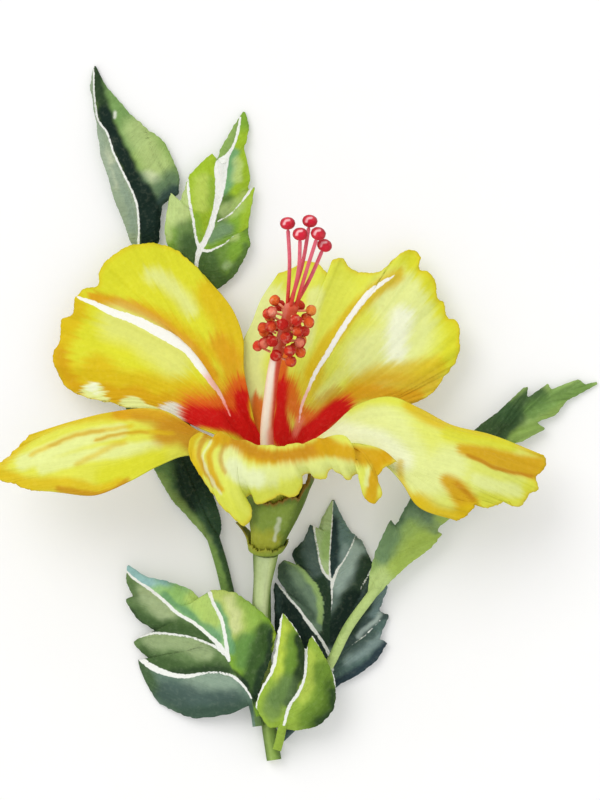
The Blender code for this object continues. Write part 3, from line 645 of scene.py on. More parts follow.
look = {
    "ground": tint(224, 220, 52),
    "feather": 1.1,
    "strokes": (
        (YELLOW, 0.8, 2.0, 3.0, ((-42, 38.5), (-37.5, 46), (-30.5, 49), (-23, 48), (-16, 41.5))),
        # a painted highlight above the midrib
        (PALE, 0.7, 0.3, 2.4, ((-29, 42.5), (-26, 41), (-22, 37.5), (-19.5, 34))),
        (GOLD, 0.85, 2.2, 2.6, ((-14, 38), (-10, 31), (-8, 24))),
        (ORANGE, 0.85, 1.2, 2.4, ((-12, 25), (-9, 20), (-8, 15), (-7, 11))),
        # painted shade beside the midrib, in gold and orange
        (GOLD, 0.8, 0.8, 1.8, ((-31.5, 34), (-25.5, 31), (-20, 27), (-15, 22.5))),
        (ORANGE, 0.95, 0.5, 1.3, (
            (-43.5, 37), (-37.5, 35.5), (-31.5, 33.5), (-26, 30), (-21.5, 26.5), (-17, 22), (-13.5, 17),
        )),
        # a painted highlight below the midrib
        (PALE, 0.5, 1.6, 4.0, ((-38, 30.5), (-33, 28.5), (-28, 25), (-23.5, 21))),
        # painted gold shade along the tip and the lower margin
        (GOLD, 0.9, 1.3, 2.6, ((-48, 34), (-51, 28.5), (-52.5, 22.5), (-49.5, 17), (-47, 14.5))),
        (DEEP_GOLD, 0.9, 1.1, 1.6, ((-53, 23), (-51, 17.5), (-47.5, 13.5))),
        (GOLD, 0.9, 2.2, 3.0, ((-43, 18.5), (-38, 15), (-32, 14), (-26, 12.5), (-20, 12.5))),
        (DEEP_GOLD, 0.9, 1.1, 1.6, ((-41, 13.5), (-37.5, 12), (-32.5, 12.5), (-29, 10.5), (-25.5, 11))),
        (ORANGE, 0.8, 1.2, 2.0, ((-21, 11.5), (-16, 12), (-12, 13.5))),
        (PALE, 0.95, 0.1, 0.3, ((-46.2, 12.6, 0.1), (-44, 13, 2.3), (-42, 11.4, 1.0), (-40.4, 11, 0.2))),
        # a painted highlight on a frill
        (WHITE, 0.8, 0.1, 0.4, ((-45, 14.2, 0.3), (-43.8, 14.8, 0.6), (-43, 13.2, 0.2))),
        (PALE, 0.95, 0.1, 0.3, ((-37, 10, 0.2), (-34.3, 10.4, 1.4), (-31, 9.4, 0.9), (-28.6, 9, 0.3))),
        (FRILL, 0.95, 0.1, 0.35, ((-26.6, 9, 0.4), (-24, 8.6, 1.6), (-21, 7.2, 1.5), (-18.6, 4.8, 0.7))),
        (VERMILION, 0.95, 1.6, 2.2, ((-19, 9), (-14, 9.2), (-9.5, 10.5), (-6.5, 14.5))),
        (RED, 1.0, 1.9, 1.5, ((-18.5, 7.2), (-14, 6.6), (-9, 5.8), (-4, 2.5), (-2, 0.5))),
        (RED, 1.0, 1.2, 1.2, ((-6.5, 12), (-6, 7), (-3.5, 3))),
    ),
    "midrib": (
        (-48.8, 37.8, 0.1), (-46.5, 36.6, 0.4), (-43.5, 35.5, 0.6), (-39.5, 33.5, 0.85), (-34, 31.5, 0.95),
        (-29, 29, 1.1), (-24.5, 26.5, 1.15), (-20, 23.5, 1.0), (-17.5, 20, 0.85), (-15, 16.5, 0.6),
        (-12.5, 13, 0.45), (-9.5, 7, 0.1),
    ),
    "blush": (
        (BLUSH, 0.9, 0.8, 2.5, ((-15, 15), (-12.5, 12))),
        (ROSE, 0.9, 0.6, 2.0, ((-11, 9), (-8, 5))),
    ),
}
add_petal("petal_upper_left", lines, look)

# %% [markdown]
# The upper right petal stands behind the column. A notch parts its crest in two, and a wide painted
# highlight lies on its right half, inside a yellow margin. Gold and orange toward its lower right are
# painted shade.

# %% The upper right petal
lines = {
    "centre": (306.0, -1.0),
    "veins": (
        (
            (-3, 4, 12.2), (-6.8, 12, 12.6), (-7.3, 19, 12), (-6.6, 25, 11), (-3.9, 31, 9.8), (-2, 36, 8.3),
            (2.5, 43, 6.5),
        ),
        ((1.5, 5, 13), (3.5, 18, 13), (6.5, 31, 10), (11, 46, 6.5)),
        ((4, 5, 13.5), (8, 18, 13), (14, 32, 9.5), (21, 44, 6)),
        ((7, 4, 14.5), (12, 14, 14), (18, 24, 11.5), (25, 33, 9), (36, 48, 7)),
        ((9, 3, 16), (18, 13, 14), (29, 23, 11), (44, 36, 7.5)),
        ((10, 2, 17), (19, 9, 15), (32, 15, 12.5), (48, 26, 9)),
        ((11, 0.5, 17.8), (18, 5, 16), (28, 8, 13.3), (37.5, 11, 10.5)),
    ),
    "margin": (
        (2.5, 43), (5.5, 44), (11, 46), (13, 45), (15, 43), (16.5, 46.5), (18, 47), (21, 44), (25.5, 43),
        (29, 44), (32, 47), (35.5, 49), (38, 47.5), (38, 44), (40.5, 43), (42, 40), (42.5, 37), (44, 35.5),
        (45, 32), (47, 31), (48, 26), (47, 21), (44, 17), (41, 13), (37.5, 11),
    ),
    "ruffle": (0.9, 5.0, 0.35),
}
look = {
    "ground": tint(226, 228, 92),
    "feather": 1.1,
    "strokes": (
        (PALE, 0.85, 2.2, 2.6, ((1, 36), (-2.5, 28.5), (-5, 20.5), (-4.5, 14.5))),
        (LEMON, 0.7, 1.6, 1.6, ((3.5, 42.5), (11.5, 44.5), (19.5, 44.5), (25, 42), (33, 45))),
        # a painted highlight on the right half
        (PALE, 0.85, 4.6, 4.0, ((33, 36), (34.5, 30), (32, 25), (26.5, 21.5))),
        (WHITE, 0.85, 1.0, 2.6, ((33.5, 32), (32.5, 28), (32, 23.5))),
        (YELLOW, 0.95, 1.3, 2.2, ((36.5, 47.5), (41, 41.5), (44.5, 35), (46.8, 30.5), (47, 25.5), (45, 21))),
        (GOLD, 0.85, 0.8, 1.5, (
            (32.5, 42.5), (27.5, 39), (23, 35), (19.5, 31), (16.5, 27), (13, 22.5), (11, 18),
        )),
        (PALE, 0.7, 0.8, 1.4, ((12, 38), (10.5, 31), (9, 25))),
        (GOLD, 0.7, 1.4, 1.8, ((11.5, 17.5), (9.5, 13), (6.5, 15.5))),
        # painted shade toward the lower right
        (GOLD, 0.8, 0.8, 2.4, ((22, 14.5), (27, 17.5), (31.5, 18), (36.5, 18.5), (42, 19.5))),
        (DEEP_GOLD, 0.7, 1.1, 2.2, ((22, 13), (27, 15.2), (31.5, 15), (36.5, 14.5), (41, 15))),
        (ORANGE, 0.9, 1.0, 1.6, ((16, 10), (21, 12.5), (25, 13), (31, 12), (37, 12))),
        (PALE, 0.4, 0.5, 1.3, ((18, 17.5), (13, 12))),
        (AMBER, 0.6, 0.5, 1.2, ((17, 13.5), (11, 9))),
        (VERMILION, 0.9, 1.0, 1.8, ((5, 14.5), (6.5, 9.5), (11, 6.5), (15.5, 8), (19.5, 10.5))),
        (VERMILION, 0.95, 0.6, 0.9, ((4.2, 23), (3.6, 17), (3.2, 10))),
        (RED, 1.0, 0.9, 1.2, ((3.4, 15), (3.2, 9), (3, 3))),
        (RED, 1.0, 1.8, 1.5, ((3, 5), (4, 1.5), (8, 2), (12, 4), (15, 6.5), (18, 9))),
        (ROSE, 0.7, 0.35, 0.8, ((8.2, 6.2), (7, 3))),
        (VERMILION, 0.9, 0.8, 1.2, ((-2.6, 11), (-2.5, 5.5), (-1.8, 1))),
    ),
    "midrib": (
        (31.5, 42.5, 0.1), (28.5, 40.5, 0.45), (24.5, 37, 0.65), (21, 32.5, 0.65), (18, 28, 0.6),
        (15, 23, 0.58), (12, 18, 0.5), (10, 13.5, 0.4), (8.5, 9.5, 0.3), (8, 5.5, 0.15),
    ),
    "blush": (
        (BLUSH, 0.9, 0.8, 2.5, ((10, 12), (8, 6))),
    ),
}
add_petal("petal_upper_right", lines, look)

# %% [markdown]
# The left petal is long, narrow and seen almost from its edge. It has no white midrib, only thin lines of
# gold and amber that follow its veins. Gold along its upper and lower edges is painted shade, and pale
# strokes between them are painted highlights.

# %% The left petal
lines = {
    "centre": (162.0, -1.0),
    "veins": (
        (
            (-10.5, 0, 20.5), (-17.5, 3.5, 21), (-26, 8.5, 20.5), (-39.5, 8, 20), (-48, 6, 20),
            (-59.5, 2.5, 18),
        ),
        ((-12, -1, 22), (-22, 4, 24.5), (-38, 4, 26), (-52, 2, 25), (-66, -4, 20)),
        ((-12, -2.5, 24), (-22, 1, 27.5), (-38, -1, 30), (-52, -3, 29), (-69, -6, 22)),
        ((-12, -4, 26), (-22, -1, 29.5), (-38, -6, 33), (-52, -7, 32), (-63, -8.5, 26)),
        (
            (-11, -4.5, 27), (-20, -2.5, 30), (-27, -5, 32.5), (-34.5, -9, 35), (-43, -12.5, 35),
            (-54.5, -11, 31),
        ),
    ),
    "margin": (
        (-59.5, 2.5), (-62.5, -0.5), (-66, -4), (-69, -6), (-67.5, -8.5), (-63.5, -9.5), (-60, -11),
        (-54.5, -11),
    ),
    "ruffle": (0.8, 2.5, 0.2),
}
look = {
    "ground": tint(226, 224, 86),
    "feather": 0.35,
    "strokes": (
        # painted shade along the upper edge
        (GOLD, 0.8, 0.6, 1.4, ((-66, -4), (-61, 1.2), (-55.5, 4.4), (-49, 6.2), (-42, 7.4), (-36, 8))),
        # painted highlights along the middle
        (PALE, 0.85, 1.1, 1.2, ((-61, -4.5), (-55.5, -2.2), (-49.5, 0.3), (-43, 2.3), (-37, 3.4))),
        (PALE, 0.8, 0.9, 1.2, ((-56, -5.5), (-50, -4), (-44, -2.5), (-36, -1.5), (-28, -0.5))),
        (YELLOW, 0.9, 1.4, 2.4, ((-40, -8), (-35.5, -6.5), (-31, -4.5), (-28, -3.5))),
        (ORANGE, 0.9, 0.8, 1.3, ((-37.5, 8), (-31, 7.6), (-25.5, 6.4), (-20, 4))),
        (AMBER, 0.9, 1.6, 2.4, ((-25.5, 3), (-21.5, 3), (-19, 1.5))),
        # painted shade along the lower edge
        (GOLD, 0.85, 0.8, 1.4, (
            (-67, -7), (-61, -9.5), (-52.5, -9.8), (-46.5, -10.5), (-42, -11.5), (-37, -10),
        )),
        (AMBER, 0.8, 0.25, 0.8, ((-52, -11), (-46, -11.8), (-42, -12.3), (-38.5, -11.5), (-35, -9))),
        (GOLD, 0.7, 0.1, 0.7, ((-59, -2.6), (-54.5, -0.6), (-50, 1.4), (-45, 3), (-40, 3.8), (-34, 4.6))),
        (AMBER, 0.4, 0.05, 0.4, ((-54.5, -0.6), (-50, 1.4), (-45, 3), (-41, 3.7))),
        (GOLD, 0.7, 0.1, 0.7, ((-43, 1.2), (-39, 2.2), (-34, 2.9), (-27, 3.2), (-24, 3))),
        (AMBER, 0.5, 0.05, 0.4, ((-43, 1.2), (-39, 2.2), (-34, 2.9), (-30, 3))),
        (GOLD, 0.6, 0.1, 0.9, ((-47.5, -4.8), (-43, -2.6), (-38.5, -0.4), (-36, 0.4))),
        (AMBER, 0.5, 0.3, 1.3, ((-33, 7), (-28, 5.2), (-24, 4))),
    ),
}
add_petal("petal_left", lines, look)

# %% [markdown]
# The front petal bends back over the calyx, so that its inner face shows. A band of deep gold, painted
# shade, marks the fold, and pale painted highlights lie below it. Its margin is the most ragged of the five.

# %% The front petal
lines = {
    "centre": (90.0, 1.0),
    "veins": (
        ((-10, -1.5, 30.5), (-17.5, 3, 32), (-19.5, 1.5, 34), (-20, -1, 35)),
        ((-7, -2, 30.5), (-12.5, 4, 33), (-15, 0, 36.5), (-15.5, -6, 37), (-14.5, -11, 34)),
        ((-4, -2.5, 30), (-6, 0.5, 32.5), (-7.5, -4, 37), (-8, -11, 37), (-7, -18, 32)),
        ((0, -3, 30), (0.5, -0.5, 32.5), (0, -4, 37), (0, -9, 37.5), (0, -14, 33.5)),
        ((4, -3, 30), (8.5, 0, 32.5), (8.5, -2.5, 36.5), (9, -6, 37), (9, -9.5, 34.5)),
        ((7, -2.5, 30), (17, 2, 33), (17.5, 0, 36), (17.5, -4, 37), (17.5, -7.5, 35)),
        ((12, -2, 30), (21, 0.5, 32), (29, -1, 33.5), (32, -3.5, 35)),
    ),
    "margin": (
        (-20, -1), (-19, -4), (-17, -7.5), (-14.5, -11), (-11.5, -15), (-9, -17.5), (-6, -20), (-4.2, -18),
        (-4.2, -15.5), (-5.6, -12.8), (-4, -12), (-2.6, -14.5), (0.8, -13.6), (3.4, -12.2), (6, -13),
        (8.1, -11.3), (8.7, -7.6), (11, -7), (12, -8.3), (14.5, -8), (15.5, -6), (18, -7), (20, -8.5),
        (22, -7), (23.5, -7), (24, -12.5), (26, -14.5), (28, -13), (27.5, -7.5), (29, -5.5), (32, -4),
    ),
    "ruffle": (0.6, 5.0, 0.0),
}
look = {
    "ground": tint(228, 230, 104),
    "feather": 0.35,
    "strokes": (
        # painted shade at the fold
        (DEEP_GOLD, 0.95, 0.8, 1.8, (
            (-14, 3), (-10, 1), (-6, -1), (-1.5, -2.8), (4, -3.2), (9.5, -2.2), (14.5, -0.6),
        )),
        (AMBER, 0.9, 0.4, 1.3, ((-8, 0.6), (-4, -1.6), (0, -2.6), (5, -2.8), (10, -1.8), (14, 0))),
        (DEEP_GOLD, 0.95, 1.2, 1.4, ((14, 0), (18, -1.6), (22, -2.6), (26, -3), (29.5, -3))),
        # painted highlights below the fold
        (PALE, 0.85, 1.6, 1.8, ((-9.5, -3.5), (-6.5, -7), (-3, -8), (0, -8))),
        (CREAM, 0.8, 1.1, 1.6, ((-8.5, -5.5), (-5.5, -8), (-3, -8.5))),
        (PALE, 0.6, 0.8, 1.6, ((3.5, -6.5), (8.5, -5.8), (15.5, -5), (20.5, -6))),
        (LEMON, 0.6, 1.0, 1.8, ((-4, -14), (0, -12.5), (5, -12), (8, -10.5))),
        (LEMON, 0.7, 0.7, 1.4, ((-12, -12), (-9, -16), (-5, -19.5))),
        (GOLD, 0.9, 0.7, 1.0, ((-17.5, 3.5), (-19.2, 1), (-19, -2.5), (-17, -7))),
        (AMBER, 0.8, 0.2, 0.7, ((-15.5, 2.5), (-17, -1), (-16, -5), (-13.2, -9.5))),
        (DEEP_GOLD, 0.85, 0.2, 0.7, ((-12.5, 1.5), (-14.6, -2.5), (-13.5, -7), (-11.5, -11))),
        (AMBER, 0.6, 0.2, 0.6, ((-10.5, 0), (-12, -3), (-11, -6.5))),
        (CREAM, 0.6, 0.1, 0.3, ((-14.3, 1), (-16, -2.6), (-14.8, -6.6), (-11.5, -12))),
        (DEEP_GOLD, 0.95, 0.9, 0.8, ((29.5, -2.8), (27.5, -4.8), (26.4, -8), (25.8, -13.5))),
        (PALE, 0.8, 0.2, 0.5, ((24.8, -6), (24.6, -10))),
    ),
}
add_petal("petal_front", lines, look)

# %% [markdown]
# The right petal has painted highlights, pale and white, near the throat and along its middle. Its upper
# edge is gold, a painted shade, and bands of deep gold and amber, painted shade at its folds, run out to
# its ragged tip and down its lower side.

# %% The right petal
lines = {
    "centre": (18.0, -1.0),
    "veins": (
        (
            (11, 0.5, 20), (15.5, 4, 20), (22.5, 10, 19.5), (30.5, 12, 19), (38, 9, 19), (45.5, 5, 19.5),
            (55.5, 2.5, 19), (67, -2, 16),
        ),
        ((12, -1, 22), (22, 5, 22.5), (36, 5, 24), (50, 1, 24), (68.5, -5, 17)),
        ((12, -2.5, 24), (22, 1.5, 25.5), (36, -1, 27.5), (50, -4, 27.5), (66, -12, 20)),
        ((12, -4, 25.5), (22, -2, 27.5), (34, -5, 30), (46, -9, 30), (59, -14, 24)),
        ((11, -5, 26.5), (20, -4, 28), (29, -5, 29.5), (33, -9, 31), (37, -15, 32), (47, -19, 29)),
    ),
    "margin": (
        (67, -2), (69, -3), (69, -6), (67, -8), (67.5, -11), (65, -12.5), (64, -14.5), (62, -15.5),
        (60, -14), (57, -15), (54, -15.5), (52, -14.5), (51, -16), (49, -18), (47, -19),
    ),
    "ruffle": (0.9, 3.5, 0.4),
}
look = {
    "ground": tint(228, 230, 118),
    "feather": 0.6,
    "strokes": (
        # painted highlights near the throat and along the middle
        (PALE, 0.85, 2.6, 3.4, ((20.5, 7), (29.5, 5), (34.5, -2), (40, -8), (45, -5))),
        (WHITE, 0.6, 1.0, 2.4, ((15.5, 3), (22, 2.6), (27.5, 1), (31.5, -1.5), (33.5, -4))),
        (LEMON, 0.85, 0.8, 1.6, ((20.5, 9.5), (25.5, 11.5), (30.5, 12), (36, 10.5))),
        # painted shade along the upper edge
        (GOLD, 0.85, 0.7, 1.5, ((35.5, 9.8), (41, 6.4), (47, 4.4), (55.5, 2.6), (63, 0.8), (68.5, -2))),
        (YELLOW, 0.8, 0.8, 1.6, ((45, 2.5), (52, 1), (60, -0.5))),
        (YELLOW, 0.7, 1.0, 1.8, ((53, -14), (58.5, -13.4), (64.5, -12), (67, -9.5))),
        (PALE, 0.8, 0.7, 1.4, ((52, -8.5), (57, -10.5), (62, -11.5))),
        # painted shade at the folds
        (DEEP_GOLD, 0.95, 0.1, 1.4, (
            (48.5, -1, 0.3), (54, -2.6, 0.9), (60, -4.2, 1.4), (65, -5.6, 1.6), (68.3, -6, 1.6),
        )),
        (AMBER, 0.95, 0.15, 0.4, ((50, -2.5), (54.5, -4.7), (58.5, -6.2), (63, -7.4), (67, -7.8))),
        (DEEP_GOLD, 0.95, 0.1, 1.6, (
            (44.5, -8.8, 0.3), (47.5, -11.5, 1.2), (49.5, -14.5, 1.5), (50, -17, 1.2),
        )),
        (AMBER, 0.8, 0.15, 0.6, ((47, -9.6), (50, -12.5), (51.3, -15.4))),
        # painted shade along the lower edge
        (GOLD, 0.9, 1.0, 2.2, ((37.5, -14.5), (42, -17.5), (46.5, -18), (50, -17))),
        (GOLD, 0.7, 0.2, 0.9, ((33, -4.5), (33.3, -8), (35, -12), (38, -15.5))),
    ),
}
add_petal("petal_right", lines, look)

# %% [markdown]
# ## Leaves: the loft
# A hibiscus leaf has a round stalk, a strong midrib and a toothed blade that puffs up between its veins.
# It is lofted: at each step from the stalk to the tip, a ring runs over the top from the left margin to
# the right and back underneath. The teeth are listed points, joined half by straight lines and half
# by a spline, so that they stay sharp without looking cut with scissors.

# %% Leaves: the loft
LEAF_EDGE = 0.2
LEAF_ARCH = 0.06
LEAF_LOW = 0.45
LEAF_TIP = 0.3
RIB_TOP = 0.45
STALK_ROWS = 40
BLADE_ROWS = 150
LEAF_SHARES = np.linspace(0.0, 1.0, 29) ** 1.25
TOOTH_WANDER = (0.1, 2.2, 0.4)
UP = np.array((0.0, 0.0, 1.0))


def margin_line(points, at):
    """A toothed margin, read at row numbers: half straight lines and half a spline."""
    points = np.asarray(points, float)
    rows = np.arange(len(points), dtype=float)
    straight = np.stack([np.interp(at, rows, points[:, k]) for k in range(points.shape[1])], axis=1)
    return (straight + spline(points, at, rows)) / 2.0


def leaf_sections(stalk, midrib, left, right, rib, rise):
    """The middle line, both half widths as vectors, and the rib's depth, height and arch at each row."""
    base = np.array(midrib[0], float)
    ahead = base - np.array(stalk[-1])
    across = unit(np.cross(ahead, (0.0, 0.0, 1.0)))[:2] * rib[0]
    rows = np.linspace(0.0, len(left) + 1, BLADE_ROWS)
    centres = spline(midrib, rows / (len(left) + 1))
    tip = centres[-1] - centres[-3]
    turn = LEAF_TIP * unit(np.array((-tip[1], tip[0])))
    sides = []
    for margin, sign, slope in ((left, -1.0, rise[0]), (right, 1.0, rise[1])):
        edge = margin_line([base[:2] + sign * across, *margin, centres[-1, :2] - sign * turn], rows)
        edge += wander(edge, *TOOTH_WANDER) * ease(rows)[:, None] * ease(len(left) + 1 - rows)[:, None]
        side = edge - centres[:, :2]
        width = np.linalg.norm(side, axis=1)
        lift = np.maximum(slope * width, LEAF_LOW - centres[:, 2]) * ease(rows)
        sides.append(np.column_stack((side, lift)))
    stem = spline([*stalk, base], np.linspace(0.0, 1.0, STALK_ROWS))[:-1]
    way = unit(np.cross(np.gradient(stem, axis=0), (0.0, 0.0, 1.0))) * rib[0]
    grown = ease(rows)
    depth = np.interp(rows, (0, len(left) + 1), rib)
    height = depth * (1.0 + grown * (RIB_TOP - 1.0))
    round_part = np.full(len(stem), rib[0])
    return (
        np.vstack((stem, centres)), np.vstack((-way, sides[0])), np.vstack((way, sides[1])),
        np.concatenate((round_part, depth)), np.concatenate((round_part, height)),
        np.concatenate((np.zeros(len(stem)), LEAF_ARCH * grown)),
    )


def leaf_grid(sections):
    """Rings over the top and back underneath, with each point's share across and which face it is on."""
    centre, left, right, below, above, arch = sections
    halves = []
    for side in (left, right):
        width = np.linalg.norm(side, axis=1)[:, None]
        share = LEAF_SHARES[None, :]
        spot = centre[:, None] + side[:, None] * share[..., None]
        spot[..., 2] += arch[:, None] * width * np.sin(math.pi * share)
        bump = np.sqrt(np.clip(1.0 - (share * width / below[:, None]) ** 2, 0.0, 1.0))
        tops = LEAF_EDGE + (above[:, None] - LEAF_EDGE) * bump
        bottoms = LEAF_EDGE + (below[:, None] - LEAF_EDGE) * bump
        halves.append((spot + UP * tops[..., None], spot - UP * bottoms[..., None]))
    (left_top, left_bottom), (right_top, right_bottom) = halves
    round_trip = (left_top[:, ::-1], right_top[:, 1:], right_bottom[:, ::-1], left_bottom[:, 1:])
    return np.concatenate(round_trip, axis=1)


print("points round a leaf:", 4 * len(LEAF_SHARES) - 2)

# %% [markdown]
# ## Leaves: growing them
# The veins lie in shallow valleys and the lobes swell between them, so the skin rises with its distance
# from the nearest vein. Fine side veins follow a slanting flow: they are a low ripple in the skin, and
# the material's fibres run the same way.

# %% Leaves: growing them
LEAF_WANDER = (0.3, 0.6, 2.1)
PUFF_HEIGHT = 0.6
PUFF_SPREAD = 2.0
PUFF_REACH = 8.9
MARGIN_FADE = 4.0
SLANT = 0.8
RIPPLE_HEIGHT = 0.18
RIPPLE_PACE = 0.9
RIPPLE_START = 3.0


def outline_of(parts, veins):
    """An outline from corners and named veins. A minus sign runs a vein backwards."""
    corners = []
    for part in parts:
        if part == "top":
            corners += [point[:2] for point in veins["middle"][-4:]]
        elif isinstance(part, str):
            line = [point[:2] for point in veins[part.lstrip("-")]]
            corners += line[::-1] if part.startswith("-") else line
        else:
            corners.append(part)
    return corners


def leaf_paint(plan, look):
    drifted = plan + wander(plan, *LEAF_WANDER)
    paint = brush(wash(look["ground"], plan), drifted, look["strokes"])
    for ground, parts, strokes in look["lobes"]:
        held = inside(plan, outline_of(parts, look["veins"]))
        paint[held] = brush(wash(ground, plan[held]), drifted[held], strokes)
    return paint


def leaf_relief(grid, gap, centres):
    """How far the lobes swell and the side veins ripple, and each point's slanting flow."""
    away = np.linalg.norm(grid[:, :, :2] - centres[:, None, :2], axis=2)
    along = np.cumsum(np.linalg.norm(np.gradient(centres, axis=0), axis=1))[:, None]
    half_width = np.maximum(away.max(axis=1, keepdims=True), 0.1)
    flat = ease((1.0 - away / half_width) * MARGIN_FADE)
    puff = PUFF_HEIGHT * (1.0 - np.exp(-np.maximum(gap, 0.0) / PUFF_SPREAD)) * (gap < PUFF_REACH)
    slanted = along - SLANT * away
    ripple = RIPPLE_HEIGHT * np.sin(RIPPLE_PACE * slanted) * ease(away / RIPPLE_START) * flat
    blade = np.concatenate((np.zeros(STALK_ROWS - 1), ease(np.linspace(0.0, 6.0, BLADE_ROWS))))
    rise = (puff.reshape(away.shape) * flat + ripple) * blade[:, None]
    return rise, np.stack((slanted, away, np.zeros_like(away)), axis=-1).reshape(-1, 3)


def add_leaf(node, lines, look):
    sections = leaf_sections(**lines)
    grid = leaf_grid(sections)
    plan = plan_of(grid)
    paint = leaf_paint(plan, look)
    gap = np.full(len(plan), NO_VEIN)
    for line in look["veins"].values():
        gap = np.minimum(gap, gap_to_line(plan, line))
    rise, flow = leaf_relief(grid, gap, sections[0])
    grid[:, :, 2] += rise
    tell(add_skin(node, grid, (LEAF_SKIN,), paint, gap, None, flow))


# %% [markdown]
# ## The seven leaves
# Each leaf has its lines and its look. The lines are its stalk, the midrib from the blade's base to its
# tip, the teeth and notches of both margins seen from above, the rib's radius at both ends, and the rise
# of each half per unit of width. The look is a ground colour, veins, strokes and lobes. A vein is a line
# of (x, y, half width) points. The veins part a blade into lobes, and each lobe has its own run of
# greens, from lime where it faces the light to blue-black in its shade. A lobe is a ground colour, an
# outline made of veins (a minus sign runs one backwards) and far corners, and its strokes.

# %% Leaf greens
LIME = tint(160, 192, 45)
FRESH = tint(130, 172, 55)
PALE_LIME = tint(195, 214, 140)
MOSS = tint(104, 132, 80)
PINE = tint(66, 94, 50)
# SHADE and INK are the painted shade of the leaves: dark greens and blue-black where light doesn't reach.
SHADE = tint(34, 56, 34)
INK = tint(20, 40, 32)
SEA = tint(110, 165, 120)
MIST = tint(150, 192, 192)
SLATE = tint(70, 92, 86)
GREY_GREEN = tint(108, 134, 116)
print("lime in linear light:", LIME.round(3).tolist())

# %% [markdown]
# The lower left leaf is broad, with four pale veins. Its upper lobe is misty at the tip, its lowest lobe is
# slate, and the lobe beside the stalk is fresh green.

# %% The lower left leaf
lines = {
    "stalk": ((-2.6, -70.5, 4.3), (-3.0, -67.5, 6.2)),
    "midrib": (
        (-3.6, -65, 7.6), (-7, -58.5, 9.4), (-11.5, -51, 9.8), (-19.2, -44.8, 8), (-27.8, -37.2, 5.5),
        (-35.2, -30.3, 3),
    ),
    "left": (
        (-10, -67.5), (-19, -68.5), (-27, -65), (-30.5, -60), (-32.6, -53.8), (-27.5, -56), (-33.6, -50),
        (-32, -48), (-28, -47), (-33, -43.5), (-35.8, -39), (-34, -38), (-35.5, -34.5),
    ),
    "right": (
        (-2.5, -62.5), (-1.2, -58.5), (1, -52.5), (2, -47.5), (0.7, -44.3), (-2, -41.5), (-4.5, -39.5),
        (-8.2, -37), (-14, -36.3), (-13.8, -41.5), (-19.5, -36.2), (-25.8, -34), (-30.5, -33),
    ),
    "rib": (1.3, 0.45),
    "rise": (-0.42, 0.03),
}
